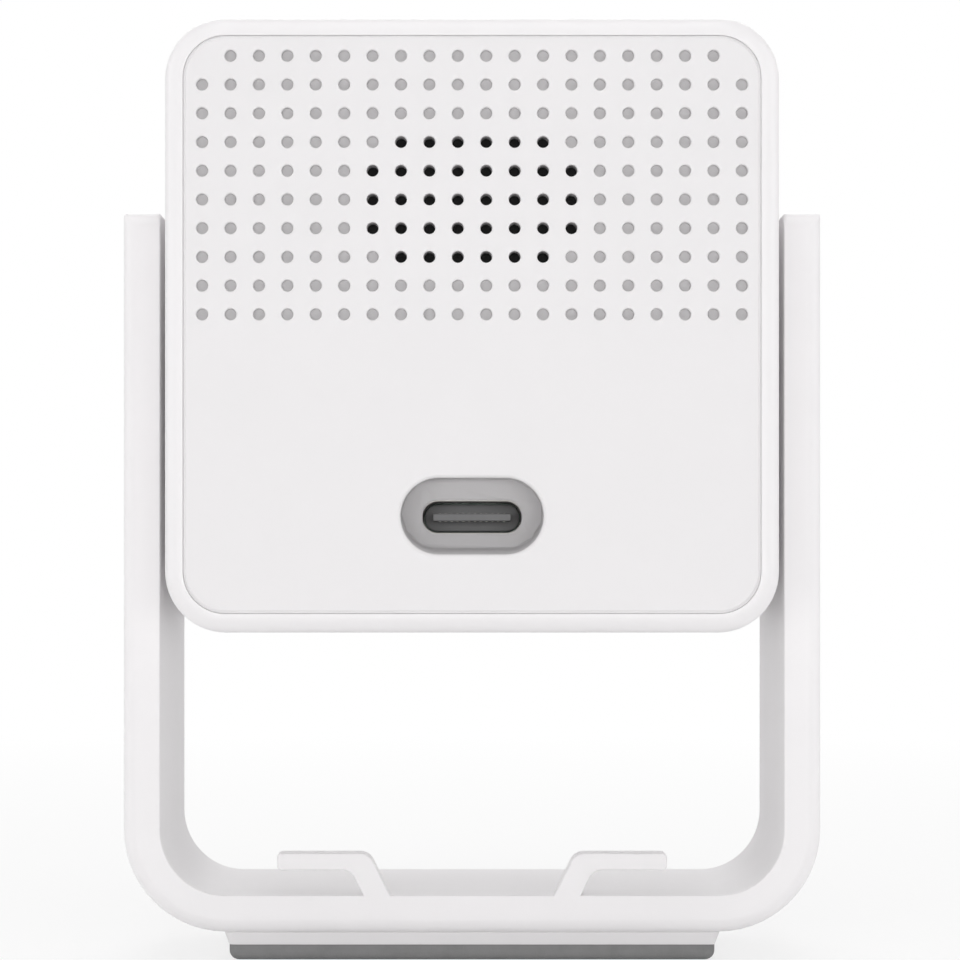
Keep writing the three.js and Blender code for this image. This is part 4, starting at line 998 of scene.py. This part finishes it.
def rear_panel():
    """The panel that closes the head: softened edge, dot field, socket recess and what it carries inside."""
    groove_floor = REAR_FACE - GROOVE_DEPTH
    edge = rim(REAR_FACE, PANEL_EDGE_ROUND, 1, PANEL_EDGE_STEPS)
    edge = [level for level in edge if level[1] > groove_floor]
    levels = [(0, PANEL_BACK), (-PANEL_SKIRT, PANEL_BACK + 2 * SEAT_GAP), (-PANEL_SKIRT, groove_floor), *edge]
    corners = rectangle(2 * PANEL_HALF, 2 * PANEL_HALF, PANEL_CORNER, LENS_AXIS)
    piece = moulding("rear_panel", corners, levels)
    low = box("rear_cover")[0]
    room = PANEL_HALF + OVERRUN
    inner = inside_of("rear_cover", (-room, low.y - OVERRUN, HEAD_MIDDLE - room),
                      (room, PANEL_BACK + 2 * SEAT_GAP, HEAD_MIDDLE + room))
    join(piece, inner)
    cut(piece, socket_tool())
    cut(piece, port_tool())
    field = dot_field_tree()
    cut(piece, dot_holes(field, "blind_dots", -DOT_DEPTH, False))
    cut(piece, dot_holes(field, "open_dots", PANEL_BACK - REAR_FACE - OVERRUN, True))
    dress(piece, "head", "cover_white", "rear_cover")


def usb_shell():
    """The socket's drawn metal shell."""
    wall = (USB_HIGH.x - USB_LOW.x - PLUG_WIDTH) / 2
    corners = rectangle(PLUG_WIDTH, PLUG_HEIGHT, PLUG_HEIGHT / 2, (0, SOCKET_MIDDLE))
    levels = rounded([
        (0, USB_LOW.y, 0), (-wall, USB_LOW.y, USB_EDGE_ROUND),
        (-wall, USB_HIGH.y, USB_EDGE_ROUND), (0, USB_HIGH.y, USB_EDGE_ROUND),
    ], LIP_STEPS)
    dress(moulding("usb_shell_drawn", corners, levels, closed=True), "head", "bright_metal", "usb_shell")


def usb_tongue():
    """The socket's tongue, on the base that closes the shell."""
    middle = (0, SOCKET_MIDDLE)
    plate = rectangle(TONGUE_WIDTH, TONGUE_HEIGHT - 2 * CONTACT_PROUD, TONGUE_EDGE_ROUND, middle)
    levels = both_rims(TONGUE_LOW.y, TONGUE_HIGH.y, SEAT_GAP, TONGUE_EDGE_ROUND)
    tongue = moulding("usb_tongue_plate", plate, levels, steps=LIP_STEPS)
    height = TONGUE_HIGH.z - TONGUE_LOW.z
    base = rectangle(TONGUE_HIGH.x - TONGUE_LOW.x, height, height / 2 - SEAT_GAP, middle)
    levels = both_rims(TONGUE_LOW.y, TONGUE_LOW.y + TONGUE_BASE_LENGTH, SEAT_GAP, TONGUE_EDGE_ROUND)
    join(tongue, moulding("base", base, levels))
    dress(tongue, "head", "tongue_grey", "usb_tongue")


def usb_contacts():
    """A row of strips through the tongue, each a contact on both of its faces."""
    strip = rectangle(CONTACT_WIDTH, TONGUE_HEIGHT, CONTACT_PROUD)
    contact = moulding("contact", strip, [(0, 0), (0, CONTACT_LENGTH)], steps=2)
    first = -(CONTACTS - 1) / 2 * CONTACT_PITCH
    start = Vector((first, TONGUE_HIGH.y - CONTACT_SETBACK - CONTACT_LENGTH, SOCKET_MIDDLE)) * MM
    contacts = grown("usb_contacts", row_tree(), contact, Count=CONTACTS, Start=start,
                     Step=Vector((CONTACT_PITCH, 0, 0)) * MM, Finish=FINISHES["bright_metal"])
    dress(contacts, "head", "bright_metal")


# Front of the head

def cap_profile(radius, front, rise, steps):
    """A shallow dome's (radius, place) points, from its middle to its edge."""
    ball = (radius * radius + rise * rise) / (2 * rise)
    reach = math.asin(radius / ball)
    return [(ball * math.sin(reach * k / steps), front + ball * (1 - math.cos(reach * k / steps)))
            for k in range(steps + 1)]


def front_window():
    """The black window, with holes for the lens trim, the lamp and the microphone."""
    corners = rectangle(2 * WINDOW_HIGH.x, 2 * WINDOW_HIGH.x, PANEL_CORNER, LENS_AXIS)
    levels = both_rims(WINDOW_LOW.y, WINDOW_HIGH.y, WINDOW_EDGE_ROUND, WINDOW_CHAMFER)
    piece = moulding("front_glass", corners, levels)
    back = WINDOW_HIGH.y + OVERRUN
    for radius, axis in ((RING_HOLE, LENS_AXIS), (PIPE_HOLE, PIPE_AXIS), (SOUND_HOLE, SOUND_AXIS)):
        cut(piece, hole(radius, WINDOW_CHAMFER, WINDOW_LOW.y, back, axis))
    dress(piece, "head", "window_black", "front_window")


def sound_mesh():
    """The disc of mesh that keeps dust out of the microphone's hole."""
    radius = SOUND_HOLE - SEAT_GAP
    front = WINDOW_HIGH.y - MESH_DEPTH
    back = front + MESH_THICKNESS
    profile = [(0, front), (radius, front), (radius, back), (0, back)]
    dress(turned("sound_mesh", profile, SOUND_AXIS, sides=DOT_SIDES), "head", "cloth_black")


def lens_trim():
    """The ring round the lens: a flat lip, and a mouth that goes inwards in fine steps."""
    radius, front, back = RING_HIGH.x, RING_LOW.y, RING_HIGH.y
    across = (radius - RING_LIP - RING_MOUTH) / RING_STEPS
    down = (back - front - SEAT_GAP) / RING_STEPS
    profile = [(RING_MOUTH, back, 0), (radius, back, 0), (radius, front, RING_EDGE_ROUND),
               (radius - RING_LIP, front, RING_STEP_ROUND)]
    for k in range(RING_STEPS):
        wall = radius - RING_LIP - k * across
        depth = front + (k + 1) * down
        profile += [(wall, depth, RING_STEP_ROUND), (wall - across, depth, RING_STEP_ROUND)]
    profile[-1] = (RING_MOUTH, back - SEAT_GAP, 0)
    ring = turned("lens_bezel", rounded(profile, LIP_STEPS), LENS_AXIS, closed=True, sides=RING_SIDES)
    dress(ring, "head", "ring_black", "lens_ring")


def front_lens():
    """A dome of glass with a hollow back, seated in the front of the barrel."""
    radius = GLASS_HIGH.x
    dome = cap_profile(radius, GLASS_LOW.y, BARREL_LOW.y - GLASS_LOW.y, 2 * RIM_STEPS)
    hollow = cap_profile(radius - HOLLOW_RIM, GLASS_HIGH.y - HOLLOW_RISE, HOLLOW_RISE, 2 * RIM_STEPS)
    glass_piece = turned("lens_dome", [*dome, (radius, GLASS_HIGH.y), *reversed(hollow)], LENS_AXIS)
    dress(glass_piece, "head", "lens_glass", "lens_glass")


def lens_barrel():
    """The barrel, whose bore narrows in steps behind the front lens, and the next lens in it."""
    seat = GLASS_HIGH.y + SEAT_GAP
    narrowing = (BARREL_SEAT - BARREL_BORE) / (BARREL_STEPS + 1)
    bore = [(BARREL_SEAT, seat, 0)]
    for k in range(BARREL_STEPS):
        radius = BARREL_SEAT - (k + 1) * narrowing
        place = seat + k * BARREL_STEP_DEPTH
        bore += [(radius, place, 0), (radius, place + BARREL_STEP_DEPTH, 0)]
    bore += [(BARREL_BORE, bore[-1][1], 0), (BARREL_BORE, BARREL_HIGH.y, 0)]
    profile = [
        (BARREL_SEAT, BARREL_LOW.y, BARREL_EDGE_ROUND), (BARREL_HIGH.x, BARREL_LOW.y, BARREL_EDGE_ROUND),
        (BARREL_HIGH.x, BARREL_NECK, BARREL_EDGE_ROUND), (BARREL_THREAD, BARREL_NECK, 0),
        (BARREL_THREAD, BARREL_HIGH.y, 0), *reversed(bore),
    ]
    barrel = turned("lens_barrel_turned", rounded(profile, LIP_STEPS), LENS_AXIS, closed=True)
    dress(barrel, "head", "inner_black", "lens_barrel")
    radius = BARREL_SEAT - BARREL_STEPS * narrowing - SEAT_GAP
    back = seat + BARREL_STEPS * BARREL_STEP_DEPTH - SEAT_GAP
    cap = cap_profile(radius, back - SECOND_LENS_THICKNESS, SECOND_LENS_RISE, RIM_STEPS)
    dress(turned("second_lens", [*cap, (radius, back), (0, back)], LENS_AXIS), "head", "lens_glass")


def status_pipe():
    """The clear pipe that brings the lamp's light to the window."""
    radius = PIPE_HIGH.x
    edge = [(radius - inset, place) for inset, place in reversed(rim(PIPE_LOW.y, PIPE_EDGE_ROUND, -1))]
    profile = [(0, PIPE_LOW.y), *edge, (radius, PIPE_HIGH.y), (0, PIPE_HIGH.y)]
    dress(turned("status_pipe", profile, PIPE_AXIS), "head", "clear_plastic", "light_pipe")


# Pieces on the pivots and under the head

def friction_washers():
    for label in ("left", "right"):
        low, high = box("friction_washer_" + label)
        radius = high.z - HEAD_MIDDLE
        corners = [(WASHER_BORE, low.x), (radius, low.x), (radius, high.x), (WASHER_BORE, high.x)]
        profile = rounded([(reach, place, WASHER_EDGE_ROUND) for reach, place in corners], LIP_STEPS)
        washer = turned("washer_" + label, profile, PIVOT_AXIS, "X", closed=True)
        dress(washer, "stand", "washer_plastic", "friction_washer_" + label)


def reset_key():
    """The button under the head: a dished end, and a flange that keeps it in."""
    flat = KEY_RADIUS - KEY_EDGE_ROUND
    dish = [(0, KEY_LOW.z + KEY_DISH), (flat - KEY_RADIUS / 2, KEY_LOW.z + KEY_DISH * KEY_DISH_SHARE)]
    edge = [(KEY_RADIUS - inset, place) for inset, place in reversed(rim(KEY_LOW.z, KEY_EDGE_ROUND, -1))]
    top = KEY_HIGH.z
    flange = top - KEY_FLANGE
    profile = [*dish, *edge, (KEY_RADIUS, flange), (KEY_HIGH.x, flange), (KEY_HIGH.x, top), (0, top)]
    middle = (0, (KEY_LOW.y + KEY_HIGH.y) / 2)
    dress(turned("reset_key", profile, middle, "Z"), "button", "button_grey", "reset_button")


yoke()
foot()
housing()
rear_panel()
usb_shell()
usb_tongue()
usb_contacts()
front_window()
sound_mesh()
lens_trim()
front_lens()
lens_barrel()
status_pipe()
friction_washers()
reset_key()


# Room, lights and camera, in metres

FLOOR_HALF = 2.5
FLOOR_COLOUR = (0.96, 0.96, 0.96, 1)
NEAR_SHARE = 0.76  # how much of the floor's white the camera sees under the object, where its shadow lies
NEAR, FAR = 0.06, 0.35  # the floor gets whiter between these distances from the origin
SKY_LEVEL = 0.5
SKY_OVERHEAD_SHARE = 0.6
SKY_BEHIND_SHARE = 0.6
SKY_BEHIND_FROM, SKY_BEHIND_TO = 55, 25  # degrees from straight behind the object
LAMPS_FACE = Vector((0, 0, 0.04))
CAMERA_PLACE = (0, 0.293, 0.0354)


def floor():
    """A pale floor that keeps the object's shadow and shows as white to the camera."""
    corners = [(x * FLOOR_HALF, y * FLOOR_HALF, 0) for x, y in ((-1, -1), (1, -1), (1, 1), (-1, 1))]
    mesh = bpy.data.meshes.new("floor")
    mesh.from_pydata(corners, [], [(0, 1, 2, 3)])
    plane = placed("floor", mesh)
    material = bpy.data.materials.new("floor_white")
    tree = emptied(material)
    matt = tree.add("ShaderNodeBsdfDiffuse", {"Color": FLOOR_COLOUR})
    white = tree.add("ShaderNodeEmission", {"Color": (1, 1, 1, 1), "Strength": 1.0})
    place = tree.add("ShaderNodeTexCoord", output="Object")
    from_object = tree.add("ShaderNodeVectorMath", {0: place}, "Value", operation="LENGTH")
    whiter = tree.spread(from_object, NEAR_SHARE, 1.0, start=NEAR, end=FAR)
    share = tree.math("MULTIPLY", tree.looked_at(), whiter)
    mixed = tree.add("ShaderNodeMixShader", {0: share, 1: matt, 2: white})
    tree.add("ShaderNodeOutputMaterial", {"Surface": mixed})
    mesh.materials.append(material)


def world():
    """Soft light all round, weaker overhead and behind, and white where a camera, gloss or glass looks."""
    room = bpy.data.worlds.new("studio")
    bpy.context.scene.world = room
    tree = emptied(room)
    way = tree.split(tree.add("ShaderNodeTexCoord", output="Generated"))
    overhead = tree.spread(way["Z"], SKY_LEVEL, SKY_LEVEL * SKY_OVERHEAD_SHARE)
    start, end = (math.cos(math.radians(angle)) for angle in (SKY_BEHIND_FROM, SKY_BEHIND_TO))
    behind = tree.spread(way["Y"], 1.0, SKY_BEHIND_SHARE, start, end)
    strength = tree.spread(tree.looked_at(), tree.math("MULTIPLY", overhead, behind), 1.0)
    light = tree.add("ShaderNodeBackground", {"Color": (1, 1, 1, 1), "Strength": strength})
    tree.add("ShaderNodeOutputWorld", {"Surface": light})


def lamp(name, place, width, height, power):
    """A soft box that faces the object's middle."""
    data = bpy.data.lights.new(name, "AREA")
    data.shape = "RECTANGLE"
    data.size = width
    data.size_y = height
    data.energy = power
    soft = placed(name, data)
    soft.location = place
    soft.rotation_euler = (LAMPS_FACE - Vector(place)).to_track_quat("-Z", "Y").to_euler()


def camera():
    """Level with the lower part of the stand, looking straight at the rear panel."""
    data = bpy.data.cameras.new("camera")
    data.lens = 120.2
    data.sensor_width = 36
    data.shift_x = 0.0083
    data.shift_y = 0.0823
    data.clip_start = 0.01
    view = placed("camera", data)
    view.location = CAMERA_PLACE
    view.rotation_euler = (math.pi / 2, 0, math.pi)
    bpy.context.scene.camera = view


floor()
world()
lamp("key_box", (0, 0.42, 0.8), width=0.5, height=0.5, power=1.18)
lamp("top_box", (0, 0.12, 0.9), width=0.5, height=0.5, power=1.09)
lamp("fill_box", (0, -0.72, 0.56), width=0.5, height=0.5, power=1.73)
for side, name in ((1, "left"), (-1, "right")):
    lamp(name + "_box", (side * 0.92, 0.16, 0.28), width=0.6, height=0.6, power=1.91)
    lamp(name + "_low_box", (side * 0.15, 0.75, 0.06), width=0.3, height=0.1, power=0.82)
camera()
bpy.context.scene.view_settings.view_transform = "Standard"
